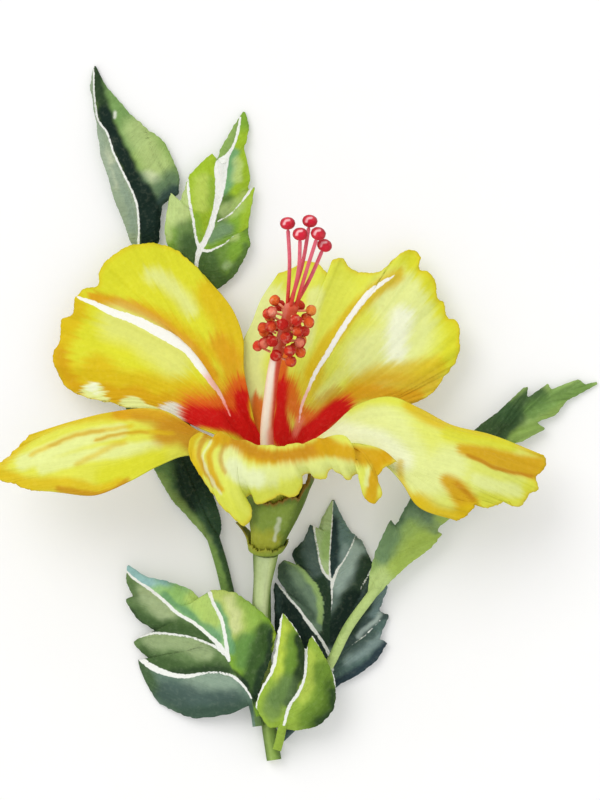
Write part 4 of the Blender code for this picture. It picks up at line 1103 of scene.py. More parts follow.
look = {
    "ground": MOSS,
    "veins": {
        "middle": (
            (-36, -31, 0.15), (-34.2, -33, 0.25), (-30.2, -35.8, 0.35), (-26.2, -38.9, 0.4),
            (-22.9, -42, 0.4), (-18.4, -44.7, 0.42), (-14.8, -47.7, 0.45), (-11.8, -50.6, 0.5),
            (-9.8, -53.9, 0.3),
        ),
        "upper": (
            (-14.6, -37, 0.5), (-13.7, -39.6, 0.4), (-11.8, -43.3, 0.45), (-10.9, -46.9, 0.42),
            (-10.4, -50.6, 0.5), (-9.8, -53.9, 0.4),
        ),
        "lower": (
            (-36, -48.8, 0.6), (-32, -48, 0.35), (-29.4, -47.3, 0.3), (-23.6, -47.5, 0.25),
            (-19.2, -48.2, 0.25), (-15.5, -49.5, 0.25), (-12.6, -51, 0.3), (-11, -52.5, 0.3),
        ),
        "lowest": (
            (-36, -50.5, 0.4), (-32.4, -53.2, 0.6), (-29.1, -55.7, 0.75), (-26.1, -57, 0.7),
            (-22.9, -57.8, 0.6), (-19.9, -57.9, 0.5), (-16.2, -57.2, 0.3), (-12.6, -57, 0.25),
            (-8.9, -57.9, 0.35), (-6.3, -60.1, 0.3), (-4.1, -63.4, 0.15),
        ),
    },
    "strokes": (),
    "lobes": (
        (tint(150, 194, 130), ("middle", "-upper", (-14, -32), (-36, -28)), (
            (MIST, 0.95, 1.2, 1.6, ((-36, -30.5), (-32.5, -32.5), (-30, -33.5))),
            (tint(135, 180, 186), 0.8, 0.6, 1.3, ((-26.5, -34), (-24.5, -35))),
            (tint(146, 190, 100), 0.8, 1.2, 2.0, ((-24, -37.5), (-20, -39.5), (-16, -44))),
            (tint(184, 212, 112), 0.9, 1.2, 2.0, ((-18, -38.5), (-15.5, -41), (-14, -43.5))),
            (tint(96, 150, 110), 0.7, 0.3, 0.9, ((-26, -38), (-22, -41), (-17, -44.3), (-12.5, -48.5))),
        )),
        (MOSS, ("middle", (-11, -52.3), "-lower", (-38, -48), (-38, -33)), (
            (tint(166, 184, 136), 0.9, 1.3, 2.2, ((-31, -37.5), (-28, -39.5), (-25.5, -41.5))),
            (PINE, 0.9, 0.9, 1.8, ((-33.5, -43), (-29, -45.5), (-23, -46.3), (-17, -47.5), (-13, -50.3))),
            (tint(90, 118, 70), 0.7, 0.8, 1.4, ((-35, -36), (-34, -39.5))),
            (SHADE, 0.6, 0.3, 0.8, ((-35, -41), (-32, -45), (-29, -46.6))),
        )),
        (MOSS, ("lower", (-9.8, -53.9), (-8.3, -57.3), (-12.6, -57), "-lowest", (-38, -52)), (
            (tint(158, 178, 128), 0.85, 1.0, 1.8, ((-29, -49), (-24, -49), (-19, -50.3), (-15.5, -52))),
            (PINE, 0.9, 0.8, 1.8, ((-31, -52.5), (-26, -55.2), (-20, -56.4), (-13, -56), (-9, -56.8))),
            (SHADE, 0.7, 0.3, 0.9, ((-24, -56.8), (-17, -56.5), (-10, -56.5))),
        )),
        (GREY_GREEN, ("lowest", (-3, -72), (-38, -72)), (
            (tint(146, 168, 148), 0.8, 1.2, 2.2, ((-19, -59.5), (-14, -58.8), (-9.5, -60))),
            (PINE, 0.85, 0.8, 1.6, ((-32, -54.5), (-30.5, -58.5), (-27, -62.5), (-22, -65.5))),
            (SLATE, 0.85, 1.8, 2.6, ((-25, -62), (-17, -64.5), (-9, -65))),
            (tint(58, 84, 66), 0.8, 1.0, 2.4, ((-20, -68), (-10, -67.5), (-5, -66))),
        )),
        (FRESH, (
            "upper", (-8.3, -57.3), (-6.3, -60.1), (-4.1, -63.4), (-3, -68), (6, -68), (6, -34), (-14, -34),
        ), (
            (tint(188, 206, 112), 0.9, 1.3, 2.2, ((-12.5, -37.5), (-9.5, -39), (-8, -43), (-8, -46))),
            (tint(220, 224, 168), 0.6, 0.4, 1.4, ((-9.5, -38.5), (-8.3, -42.5), (-8, -45.5))),
            (SEA, 0.85, 0.5, 1.0, ((-12.7, -40), (-11, -44), (-10, -48), (-9.2, -51.5))),
            (tint(150, 184, 84), 0.8, 1.0, 1.8, ((-6.5, -38.8), (-4, -42), (-3.5, -45))),
            (tint(96, 140, 74), 0.8, 1.4, 2.0, ((-5.5, -49.5), (-6, -53.5))),
            (tint(58, 88, 44), 0.95, 1.8, 2.0, ((-0.5, -47.5), (-1, -51), (-2.5, -56), (-5, -60.5))),
            (SHADE, 0.95, 0.5, 1.0, ((1.2, -47.5), (0.8, -50.5), (-0.4, -55), (-2.5, -60), (-4.5, -65))),
            (LIME, 0.8, 0.15, 0.4, ((1.3, -44.8), (2.1, -47.5), (1.6, -51))),
            (INK, 0.8, 0.3, 0.6, ((-9, -56.6), (-7.2, -58.4), (-5.4, -61))),
        )),
    ),
}
add_leaf("leaf_lower_left", lines, look)

# %% [markdown]
# The lower middle leaf is small and stands in front of the others. It is lime green, with pale lines down
# its middle and both margins.

# %% The lower middle leaf
lines = {
    "stalk": ((2.2, -76.5, 5.0), (3.0, -73.5, 6.8)),
    "midrib": ((3.5, -71, 8.0), (5.5, -64, 10.3), (8.5, -57, 11.3), (9.4, -51, 11.2)),
    "left": (
        (0, -70.5), (-3, -65.5), (-2, -61.5), (0.6, -56.5), (1.9, -51), (2.5, -46.5), (3.6, -42),
        (6.3, -45), (8.2, -48.3),
    ),
    "right": (
        (8, -71.5), (13, -70), (16.5, -66), (17, -61), (16.2, -57), (14.5, -53.5), (12.8, -50.5),
        (11, -47.6), (10, -49.8),
    ),
    "rib": (1.1, 0.5),
    "rise": (0.0, -0.1),
}
look = {
    "ground": tint(150, 180, 66),
    "veins": {
        "middle": (
            (9.4, -48.6, 0.35), (9.5, -50.2, 0.35), (9.5, -53.2, 0.35), (9, -58.7, 0.3), (7.4, -62.3, 0.4),
            (5.5, -65, 0.4), (4, -70, 0.3),
        ),
        "left": (
            (3.6, -41.5, 0.3), (3.1, -44, 0.35), (2.7, -47, 0.45), (2.1, -51, 0.5), (0.9, -56, 0.7),
            (-1.5, -60.5, 0.5), (-3, -64, 0.4), (-2.9, -66.5, 0.2),
        ),
        "right": (
            (10.6, -47, 0.25), (12.8, -50, 0.3), (14.8, -53.2, 0.35), (16.4, -57, 0.3), (17, -61, 0.15),
        ),
        "tip": ((3.8, -42, 0.15), (5.6, -44, 0.2), (7.6, -47, 0.2), (8.4, -48.6, 0.15)),
    },
    "strokes": (
        (tint(184, 206, 84), 0.8, 0.5, 1.3, ((10.6, -52), (10.6, -58), (9, -63))),
        (tint(104, 138, 48), 0.9, 1.4, 2.0, ((13.8, -57), (13.8, -64), (10, -69))),
        (tint(72, 102, 34), 0.9, 0.8, 1.6, ((15.8, -60), (15.5, -66), (12, -70))),
        (SHADE, 0.8, 0.4, 1.0, ((16.6, -62), (16.2, -66), (13, -69.6))),
    ),
    "lobes": (
        (tint(152, 184, 62), ("middle", (2, -73), (-6, -73), (-6, -40), (6, -40)), (
            (tint(196, 216, 78), 0.8, 0.7, 1.6, ((4.2, -46), (4, -51), (2.8, -57))),
            (tint(104, 142, 52), 0.9, 0.8, 1.6, ((6, -48), (6.2, -53), (5, -59), (2, -64))),
            (SHADE, 0.95, 0.6, 1.0, ((7.6, -48.5), (8.3, -52), (8.2, -56), (7, -60), (5, -64))),
            (MOSS, 0.7, 1.4, 2.2, ((4.5, -60), (1, -66))),
        )),
    ),
}
add_leaf("leaf_lower_middle", lines, look)

# %% [markdown]
# The lower right leaf lies in shade. It is slate and blue-black, with a pale strip and grey-green lobes
# toward its crown.

# %% The lower right leaf
lines = {
    "stalk": ((3.3, -73.5, 2.1), (9, -68, 1.7)),
    "midrib": ((15, -61.5, 1.6), (15.8, -50, 2.0), (15.8, -38, 2.4), (16, -27, 2.2), (16.3, -13.8, 1.2)),
    "left": (
        (9, -58.5), (4.5, -53), (1.8, -47), (1.6, -40), (1.6, -34.6), (5, -37.5), (2.4, -33.4), (2.7, -30),
        (4.3, -28.8), (7.5, -31), (5.9, -27.2), (8.8, -24), (10.7, -20), (12.7, -24), (13, -19.5),
    ),
    "right": (
        (18, -60), (22.4, -57.7), (27.2, -54), (29.8, -49.7), (28, -48.5), (30.2, -43), (28, -41.5),
        (29, -38.5), (30, -35.6), (27.5, -33), (26.2, -29.5), (25.2, -27.5), (23.5, -24), (20.5, -21.5),
        (18, -17),
    ),
    "rib": (1.1, 0.4),
    "rise": (-0.05, -0.05),
}
look = {
    "ground": SLATE,
    "veins": {
        "centre": ((16.1, -34.1, 0.5), (16, -35.8, 0.3), (16, -38.6, 0.15), (15.8, -42, 0.0)),
        "upleft": (
            (16, -34, 0.45), (14.2, -32.3, 0.32), (13, -29.5, 0.25), (12.5, -26.3, 0.2),
            (11.9, -23.5, 0.22), (11.4, -19, 0.3),
        ),
        "strip": (
            (15.5, -33.5, 0.3), (15.4, -29.5, 0.12), (15.6, -25.3, 0.12), (16.1, -18.3, 0.1),
            (16.3, -14, 0.05),
        ),
        "upright": (
            (16.3, -34, 0.4), (17.4, -31.3, 0.3), (19.1, -28.8, 0.2), (20.9, -25.3, 0.15), (22.2, -22, 0.1),
        ),
        "lowleft": (
            (1.4, -33, 0.4), (3.3, -35.8, 0.3), (5.8, -39, 0.3), (8.2, -41.8, 0.3), (9.6, -43.9, 0.4),
            (10.7, -45.3, 0.5), (12.8, -48.1, 0.35), (14.9, -51.6, 0.4), (16.3, -56.5, 0.3),
        ),
        "lowright": ((20.9, -50.2, 0.05), (24.4, -47.7, 0.1), (28.2, -43.9, 0.15)),
        "beside": ((26.6, -30, 0.25), (24.9, -33, 0.2), (23, -36.5, 0.1)),
    },
    "strokes": (
        (SHADE, 0.9, 1.6, 2.0, ((9, -27), (11.5, -33), (14, -40), (15, -46), (15.5, -50))),
        (tint(96, 116, 110), 0.7, 0.8, 1.6, ((9.8, -23), (10.3, -27), (12, -31))),
    ),
    "lobes": (
        (tint(40, 56, 50), ("lowleft", (16, -62), (0, -62), (0, -34)), (
            (SLATE, 0.8, 0.6, 1.4, ((1.6, -36), (2, -41))),
            (INK, 0.8, 0.8, 1.4, ((5, -41), (8, -45), (9.6, -49))),
        )),
        (tint(114, 138, 114), ((1, -33), (3.3, -35.8), (5.8, -39), (8.2, -41.8), (10.7, -45.3), (13.2, -47.5),
                             (13.9, -43), (13.9, -39.3), (12.3, -35), (8.9, -31.2), (5, -28), (1, -26.5)), (
            (tint(62, 84, 68), 0.7, 0.5, 1.3, ((3, -30.5), (4.3, -34), (7.5, -38.5), (10.5, -43))),
            (tint(156, 186, 112), 0.95, 0.3, 0.8, (
                (5.3, -28.9), (8.7, -31.7), (11.9, -35.4), (13.3, -39.3), (13.1, -44.5),
            )),
            (tint(130, 156, 122), 0.6, 0.6, 1.2, ((6.5, -31.5), (8.5, -34))),
        )),
        (tint(182, 206, 146), ("upleft", (11.5, -13), "-strip"), (
            (FRESH, 0.5, 0.4, 1.0, ((14.6, -22), (14.6, -28))),
        )),
        (tint(104, 130, 124), ("strip", (26, -14), "-upright"), (
            (tint(34, 54, 54), 0.95, 0.7, 1.1, ((16.4, -19), (16.2, -26), (16.2, -32))),
            (tint(150, 168, 160), 0.5, 0.3, 1.0, ((19.5, -25.5), (18.5, -28.5))),
        )),
        (tint(104, 124, 114), (
            "upright", (30, -22), (27, -31), (24, -36), (20, -44), (15, -53), (15.8, -42),
        ), (
            (tint(160, 180, 170), 0.95, 0.9, 2.0, ((21.8, -26.5), (20.2, -30.5), (18.2, -35))),
            (SHADE, 0.9, 1.2, 2.0, ((25.3, -30), (23, -34.5), (20, -40), (17.5, -45))),
            (INK, 0.95, 1.2, 1.8, ((21.5, -38.5), (18.5, -43.5), (16, -48.5))),
        )),
        (tint(66, 84, 80), (
            (26.5, -31), (24, -36), (20, -44), (17, -50.5), "lowright", (33, -43), (33, -31),
        ), (
            (tint(120, 144, 142), 0.8, 0.6, 1.2, ((29.5, -36.5), (27.5, -39.5), (26.5, -42))),
            (tint(176, 192, 184), 0.85, 0.2, 0.7, ((22.5, -48.3), (25.5, -45.5), (28, -42.5))),
            (SHADE, 0.8, 0.6, 1.3, ((27, -35.5), (23.5, -41), (20.5, -46.5))),
        )),
        (tint(84, 108, 102), ((17, -50.5), "lowright", (33, -43), (33, -62), (14, -62), (15, -53)), (
            (tint(134, 154, 150), 0.8, 0.6, 1.4, ((20, -53.5), (24, -51), (28, -48.5))),
            (tint(40, 56, 66), 0.9, 0.6, 1.1, ((17.5, -59.5), (22.5, -57), (27, -53.5), (29.5, -50))),
            (tint(58, 78, 72), 0.7, 0.5, 1.0, ((18, -52.5), (22, -50.5), (26, -47.5))),
        )),
    ),
}
add_leaf("leaf_lower_right", lines, look)

# %% [markdown]
# The right leaf has a long pale stalk. Its jagged blade reaches out behind the right petal, and its veins
# aren't pale.

# %% The right leaf
lines = {
    "stalk": ((2.6, -68.0, 4.0), (8, -63.3, 5.4), (14, -57, 5.9), (20.5, -45, 6.3)),
    "midrib": (
        (26, -37.5, 6.6), (32, -27.5, 7.2), (38.5, -19, 7.4), (48, -8, 6.4), (58, 2, 4.6), (67.5, 10, 2.8),
        (77, 14, 1.5), (82.5, 15.5, 0.9),
    ),
    "left": (
        (25.5, -32), (27, -26.5), (30.5, -19), (32, -20), (35, -14.5), (41, -4), (43, -5), (52, 4),
        (58, 8.5), (63.5, 14), (65, 14.5), (65.3, 12), (70, 15.2), (71.5, 14), (77.5, 16.5), (79.5, 15.3),
    ),
    "right": (
        (30, -35), (35, -30), (40.5, -26), (43.5, -22.5), (42.5, -21), (50, -15), (51, -11), (58, -4),
        (61.5, 1), (64, 1), (69.5, 4), (67.5, 5.5), (72, 7.5), (75, 11), (77, 12), (80, 13.8),
    ),
    "rib": (1.25, 0.4),
    "rise": (-0.12, -0.12),
}
look = {
    "ground": tint(154, 184, 104),
    "veins": {},
    "strokes": (
        (tint(190, 212, 134), 0.9, 1.4, 1.6, ((6, -66), (14, -56.5), (20.5, -45), (25, -37.5), (30, -31))),
        (tint(150, 178, 100), 0.7, 0.3, 0.8, ((7, -62.5), (13.5, -54.5), (19.5, -43.5), (24.5, -34.5))),
        (tint(168, 194, 88), 0.9, 2.0, 2.4, ((33, -30), (38, -25.5), (43, -21.5))),
        (tint(116, 148, 108), 0.9, 1.4, 2.2, ((28.5, -27), (30.5, -21.5), (34, -16), (38, -15))),
        (tint(78, 108, 82), 0.85, 0.9, 1.6, ((32, -18.5), (35, -14.5), (40, -17.5))),
        (tint(120, 148, 118), 0.6, 0.8, 1.6, ((36, -17), (42, -20.5))),
        (tint(50, 76, 46), 0.95, 3.0, 2.6, ((44, -8), (52, -1), (59, 6))),
        (tint(62, 92, 54), 0.9, 1.6, 2.0, ((60, 8), (67, 12))),
        (tint(144, 176, 88), 0.85, 0.8, 1.3, ((58, -2), (63, 2.5), (69, 5.5), (74, 10.5), (80, 14))),
        (tint(112, 150, 76), 0.7, 1.0, 1.4, ((66, 8.5), (72, 12), (80, 15))),
    ),
    "lobes": (),
}
add_leaf("leaf_right", lines, look)

# %% [markdown]
# The upper left leaf is tall and pointed. Its left half is a grey-green strip, and a deep shade runs down
# beside its vein.

# %% The upper left leaf
lines = {
    "stalk": ((-23.4, 32.7, 1.9), (-28.0, 41.5, 2.0)),
    "midrib": (
        (-31.5, 48, 2.0), (-33, 56.5, 2.6), (-35.5, 65, 3.0), (-40, 75, 2.6), (-43, 84, 1.8),
        (-43.5, 95, 1.0),
    ),
    "left": (
        (-34.5, 51), (-36, 55), (-38, 60), (-40, 66.5), (-42, 73), (-43, 80), (-44, 86), (-44.6, 90),
    ),
    "right": (
        (-27.5, 50.5), (-26.5, 60), (-22.5, 63), (-22.5, 68.5), (-26, 76), (-30, 79), (-35, 83.5),
        (-40.5, 90),
    ),
    "rib": (1.1, 0.4),
    "rise": (-0.02, -0.06),
}
look = {
    "ground": tint(138, 170, 88),
    "veins": {
        "middle": (
            (-43.8, 95, 0.15), (-43.4, 86, 0.2), (-42.4, 81, 0.22), (-40.5, 78.5, 0.22), (-39, 74, 0.22),
            (-36.5, 68.5, 0.25), (-34.5, 64.5, 0.25), (-33, 60.5, 0.25), (-32.5, 56.5, 0.25),
            (-32.5, 49, 0.25),
        ),
    },
    "strokes": (
        (tint(118, 156, 90), 0.8, 1.2, 2.4, ((-41, 91), (-39, 86), (-36, 82), (-34, 76))),
        (PALE_LIME, 0.6, 1.0, 3.0, ((-33, 79), (-30, 73.5), (-27.5, 70))),
        (CREAM, 0.5, 0.4, 1.6, ((-30.5, 67.5), (-28.5, 66.5))),
        (tint(96, 122, 92), 0.9, 1.2, 2.6, ((-24, 66), (-26.5, 63.5), (-30, 62.5), (-33, 66))),
        (tint(52, 74, 68), 0.95, 1.0, 1.6, ((-23.5, 63.5), (-26, 61), (-28.5, 58))),
        (SHADE, 0.95, 0.9, 1.6, ((-43.2, 95), (-42.4, 88), (-41, 82.5))),
        (INK, 1.0, 0.9, 1.6, (
            (-41, 83), (-39.8, 79), (-37.6, 74.5), (-35.6, 70.5), (-33.8, 66.5), (-31.6, 62),
        )),
        (INK, 1.0, 2.4, 1.5, ((-31.5, 62), (-30, 57), (-29.5, 53), (-29, 47))),
        (WHITE, 0.7, 0.1, 0.5, ((-38.3, 83.5), (-38.3, 82.5))),
    ),
    "lobes": (
        (tint(150, 168, 138), ("middle", (-50, 48), (-50, 95)), (
            (CREAM, 0.35, 0.6, 1.6, ((-40.5, 72.5), (-38.5, 69), (-37.5, 66))),
            (tint(140, 160, 138), 0.8, 0.4, 1.2, ((-38, 69.5), (-36, 64), (-34.5, 60), (-34, 54))),
            (tint(150, 168, 145), 0.7, 0.4, 1.0, ((-42.5, 80), (-41.5, 73), (-39.5, 66))),
        )),
    ),
}
add_leaf("leaf_upper_left", lines, look)

# %% [markdown]
# The upper middle leaf is lime green on its left. Two side veins part its right half into lobes.

# %% The upper middle leaf
lines = {
    "stalk": ((-19.2, 30.0, 2.0), (-18.4, 36, 2.2)),
    "midrib": (
        (-17.4, 42, 2.4), (-15, 50.5, 2.9), (-11.5, 60.5, 3.0), (-10, 69, 2.6), (-8, 76, 2.0),
        (-6, 83.5, 1.0),
    ),
    "left": (
        (-23, 45), (-26, 53), (-24.5, 63), (-22.5, 60.5), (-20.8, 64.5), (-19.5, 68), (-14, 73),
        (-13.5, 68.5), (-12, 74), (-8.6, 80),
    ),
    "right": (
        (-13, 39), (-8, 43), (-4.5, 50), (-5, 54.5), (-3.4, 64.5), (-5, 63.5), (-4.5, 68), (-6, 74),
        (-5.2, 77), (-4.8, 80.5),
    ),
    "rib": (1.0, 0.4),
    "rise": (0.08, -0.04),
}
look = {
    "ground": FRESH,
    "veins": {
        "middle": (
            (-18.4, 42, 0.4), (-18, 45, 0.45), (-17.2, 48.8, 0.7), (-15.9, 51, 0.7), (-14.4, 54.5, 0.75),
            (-13.3, 58.5, 0.7), (-12.3, 62.5, 1.0), (-11.9, 66.5, 1.4), (-11.6, 70.3, 1.6),
            (-10.2, 72.5, 0.6), (-8.7, 75, 0.3), (-7.6, 78.5, 0.35), (-7, 82, 0.25),
        ),
        "gap": (
            (-20.2, 66.5, 0.3), (-19.6, 60.5, 0.35), (-18.8, 56.5, 0.3), (-18.2, 52.5, 0.3),
            (-17.4, 49.2, 0.4),
        ),
        "low": (
            (-16.8, 48.8, 0.4), (-15, 48.6, 0.35), (-13.4, 49.2, 0.25), (-11, 50.4, 0.12),
            (-8.6, 52.4, 0.0),
        ),
        "high": (
            (-12.6, 56, 0.05), (-9.8, 57.6, 0.15), (-7.4, 60, 0.12), (-5.2, 62.8, 0.3), (-3.8, 65, 0.35),
        ),
    },
    "strokes": (
        (LIME, 0.9, 2.0, 2.0, ((-5.8, 76), (-5.8, 69), (-6.2, 64))),
        (SEA, 0.8, 0.7, 1.2, ((-8.5, 73), (-9.8, 69), (-10.8, 64))),
        (PINE, 0.75, 0.9, 1.6, ((-10.5, 61), (-12, 57.5))),
        (PALE_LIME, 0.6, 0.6, 1.2, ((-7.5, 70.5), (-8, 67))),
        (PALE_LIME, 0.5, 0.7, 1.5, ((-11, 58.5), (-8, 59.5), (-5.5, 62))),
        (GREY_GREEN, 0.7, 0.9, 1.8, ((-14, 52.5), (-11, 54))),
        (LIME, 0.8, 0.7, 1.6, ((-4, 64), (-4.8, 58), (-5.2, 53))),
    ),
    "lobes": (
        (LIME, ("gap", "middle", (-13.2, 76), (-21, 76)), (
            (tint(190, 210, 100), 0.7, 0.8, 1.8, ((-16.5, 66), (-16.5, 60))),
            (FRESH, 0.7, 0.5, 1.4, ((-18.3, 57), (-17.4, 52), (-16.8, 50))),
            (FRESH, 0.5, 0.4, 1.2, ((-14.2, 66), (-14, 60))),
        )),
        (tint(140, 172, 90), ((-13.4, 84), (-13, 70.5), (-11.2, 69.5), "top", (-8.5, 85)), ()),
        (FRESH, ("gap", (-17.4, 49), (-18, 45), (-18.4, 36), (-30, 36), (-30, 68)), (
            (PALE_LIME, 0.85, 1.6, 2.4, ((-23.5, 62), (-21.5, 62.5), (-22.5, 58))),
            (PALE_LIME, 0.6, 0.5, 1.4, ((-25.5, 58), (-25.5, 52))),
            (MOSS, 0.8, 1.8, 2.6, ((-20, 53), (-20.5, 49))),
            (PINE, 0.9, 1.4, 2.4, ((-19, 50), (-20, 46), (-21.5, 43))),
        )),
        (tint(104, 138, 56), ("low", (-4, 55), (0, 50), (-8, 38), (-18.4, 38), (-18, 45)), (
            (PINE, 0.8, 1.7, 2.2, ((-16, 46.5), (-14.5, 42), (-12.5, 39))),
            # a painted highlight
            (tint(170, 196, 140), 0.6, 0.2, 1.2, ((-10.5, 45), (-9, 45.5))),
            (FRESH, 0.8, 1.2, 1.8, ((-7, 51), (-7.5, 47.5))),
            (PINE, 0.7, 0.4, 0.9, ((-5.5, 50), (-8, 44), (-11, 40))),
            (PALE_LIME, 0.6, 0.5, 1.0, ((-11, 51.5), (-8.5, 52.5))),
        )),
    ),
}
add_leaf("leaf_upper_middle", lines, look)

# %% [markdown]
# The left leaf lies mostly under the left petal. Only the foot of its blade, dark with painted shade
# under the petal, and its long stalk show.

# %% The left leaf
lines = {
    "stalk": ((-4.4, -63.5, 2.0), (-6.6, -51, 2.0), (-9.8, -38, 2.2), (-12, -29, 2.6)),
    "midrib": (
        (-13.7, -23.5, 3.0), (-18, -14, 3.2), (-21.5, -5, 3.0), (-26.5, 8, 2.6), (-30, 21, 2.0),
        (-32, 33, 1.2),
    ),
    "left": ((-17.5, -21), (-23.5, -14.5), (-27.5, -8), (-31.5, 0), (-36, 10), (-37, 19), (-35, 27)),
    "right": ((-11.6, -20), (-13.2, -14), (-15, -8), (-17.5, 0), (-21, 9), (-23.5, 18), (-28, 27)),
    "rib": (1.6, 0.45),
    "rise": (-0.05, -0.05),
}
look = {
    "ground": tint(92, 126, 74),
    "veins": {},
    "strokes": (
        # INK and SHADE here are painted shade under the left petal
        (INK, 0.95, 3.0, 3.0, ((-17, -8), (-18.5, -12), (-19, -4))),
        (tint(44, 70, 54), 0.85, 2.0, 2.6, ((-14, -14), (-13.5, -20), (-13.5, -25))),
        (tint(140, 166, 92), 0.75, 0.5, 1.6, ((-27.5, -8.5), (-24, -14), (-19, -19.5), (-15.5, -24))),
        (tint(120, 152, 76), 0.9, 0.6, 1.2, ((-14.5, -26), (-12.5, -32), (-10.5, -38), (-9, -44))),
        (tint(60, 86, 50), 0.85, 0.5, 1.0, ((-11, -28), (-8.6, -38), (-6.2, -47), (-4.5, -56))),
        (SHADE, 0.9, 5.0, 4.0, ((-24, 4), (-29, 18), (-31, 30))),
    ),
    "lobes": (),
}
add_leaf("leaf_left", lines, look)

# %% [markdown]
# ## Stalks and the column
# The flower's stalk, the shoot and the long staminal column are slender tubes. A bevelled curve would
# do for a plain rod, but these need paint that differs from side to side, so a tube is a grid of rings.
# It gets a rounded end by rings that shrink, and the shoot's cut end stays flat, with pale pith.

# %% Stalks and the column: the tube
END_RINGS = 5
END_BULGE = 0.7
THINNEST = 0.08
CUT_SHARE = 0.2
RING_STEP = 0.4
SWELL_WAVES = 17.0
PITH_RINGS = 4


def tube_grid(points, radii, sides, rounded=(True, True)):
    """Rings along the points. Gives back the grid, and the angle of each point round its ring."""
    points, radii = np.asarray(points, float), np.asarray(radii, float)
    ways = unit(np.gradient(points, axis=0))
    quarter = np.linspace(0.2, 1.0, END_RINGS) * math.pi / 2
    bow, lean = np.sin(quarter), 1.0 - np.cos(quarter)
    for end, is_round in zip((0, -1), rounded):
        size, out = radii[end], ways[end] * (-1.0 if end == 0 else 1.0)
        shares = 1.0 - lean if is_round else np.linspace(1.0, CUT_SHARE, END_RINGS)
        reach = bow * size * END_BULGE if is_round else np.zeros(END_RINGS)
        more = [points[end] + out * step for step in reach]
        thin = list(size * np.maximum(shares, THINNEST))
        if end == 0:
            points, radii = np.vstack((more[::-1], points)), np.concatenate((thin[::-1], radii))
            ways = np.vstack((np.repeat(ways[:1], END_RINGS, axis=0), ways))
        else:
            points, radii = np.vstack((points, more)), np.concatenate((radii, thin))
            ways = np.vstack((ways, np.repeat(ways[-1:], END_RINGS, axis=0)))
    side = unit(np.cross(ways, (0.0, 0.0, 1.0)))
    front = np.cross(side, ways)
    angle = np.linspace(0.0, 2 * math.pi, sides, endpoint=False)
    spokes = np.cos(angle)[None, :, None] * side[:, None] + np.sin(angle)[None, :, None] * front[:, None]
    return points[:, None] + radii[:, None, None] * spokes, angle


def stepped(steps, count):
    """Points along the smooth line through (point, radius) steps, and the radius at each."""
    points = [point for point, _ in steps]
    at = np.linspace(0.0, 1.0, count)
    radii = np.array([[radius] for _, radius in steps])
    return spline(points, at), spline(radii, at, chords(points))[:, 0]


def side_to_side(rows, angle, colours):
    """Painted light and shade that runs from the left side of a tube, over its top, to its right side."""
    across = (np.cos(angle)[None, :].repeat(rows, axis=0).ravel() + 1.0) / 2.0
    spots = np.linspace(0.0, 1.0, len(colours))
    return np.stack([np.interp(across, spots, [colour[k] for colour in colours]) for k in range(3)], axis=1)


def tube_flow(rows, angle, radius):
    turn, step = np.meshgrid(np.abs(angle - math.pi) * radius, np.arange(rows) * RING_STEP)
    return np.stack((turn, step, 0 * turn), axis=-1).reshape(-1, 3)


def add_tube(node, surface, steps, rings, sides, girth, colours, strokes, swell=0.0, pith=None):
    """A painted tube along (point, radius) steps, cut flat at its start and rounded at its end."""
    points, radii = stepped(steps, rings)
    radii = radii * (1.0 + swell * np.sin(np.linspace(0.0, SWELL_WAVES, rings)))
    grid, angle = tube_grid(points, radii, sides, (False, True))
    paint = side_to_side(len(grid), angle, colours)
    paint = brush(paint, plan_of(grid), strokes)
    if pith is not None:
        paint[: PITH_RINGS * sides] = pith
    tell(add_skin(node, grid, (surface,), paint, flow=tube_flow(len(grid), angle, girth)))


# %% [markdown]
# The flower's stalk is light on its left and darker along its right edge: painted light and shade. The
# shoot lies under the flower, and most of it is hidden. It is painted light over its top and painted shade
# at both sides, and its cut end shows pale pith.

# %% Stalks: pedicel and shoot
PEDICEL = (
    ((-0.58, -27.0, 10.3), 3.2),
    ((-1.1, -32.0, 8.1), 2.55),
    ((-1.9, -40.0, 6.8), 2.05),
    ((-1.7, -50.0, 6.3), 2.1),
    ((-0.8, -58.5, 6.2), 2.2),
)
# painted light and shade across the stalk
PEDICEL_GREENS = (
    tint(120, 146, 66), tint(196, 212, 140), tint(178, 200, 120), tint(150, 176, 86), tint(92, 116, 48),
)
PEDICEL_STROKES = (
    (tint(176, 198, 82), 0.6, 2.0, 2.5, ((-1, -52), (-1, -58))),
    # a painted highlight streak
    (tint(204, 216, 168), 0.6, 0.8, 1.4, ((-1.2, -28), (-1.8, -36), (-2, -44))),
)
SHOOT = (
    ((1.5, -79.0, 2.0), 1.85),
    ((0.3, -71.0, 1.99), 1.84),
    ((-0.8, -60.0, 1.97), 1.82),
    ((-1.0, -45.0, 1.95), 1.8),
    ((-1.3, -30.0, 1.92), 1.77),
    ((-2.6, -14.0, 1.88), 1.73),
    ((-7.0, 0.0, 1.85), 1.65),
    ((-14.0, 16.0, 1.8), 1.5),
    ((-23.0, 32.0, 1.7), 1.25),
)
# painted light over the top and painted shade at both sides
SHOOT_GREENS = (tint(92, 118, 52), tint(150, 178, 90), tint(128, 158, 72), tint(84, 110, 50))
PITH = tint(214, 220, 170)
add_tube(
    "pedicel", STALK_SKIN, PEDICEL, rings=90, sides=48, girth=2.5,
    colours=PEDICEL_GREENS, strokes=PEDICEL_STROKES, swell=0.02,
)
add_tube(
    "main_stem", STALK_SKIN, SHOOT, rings=260, sides=40, girth=1.8,
    colours=SHOOT_GREENS, strokes=(), pith=PITH,
)
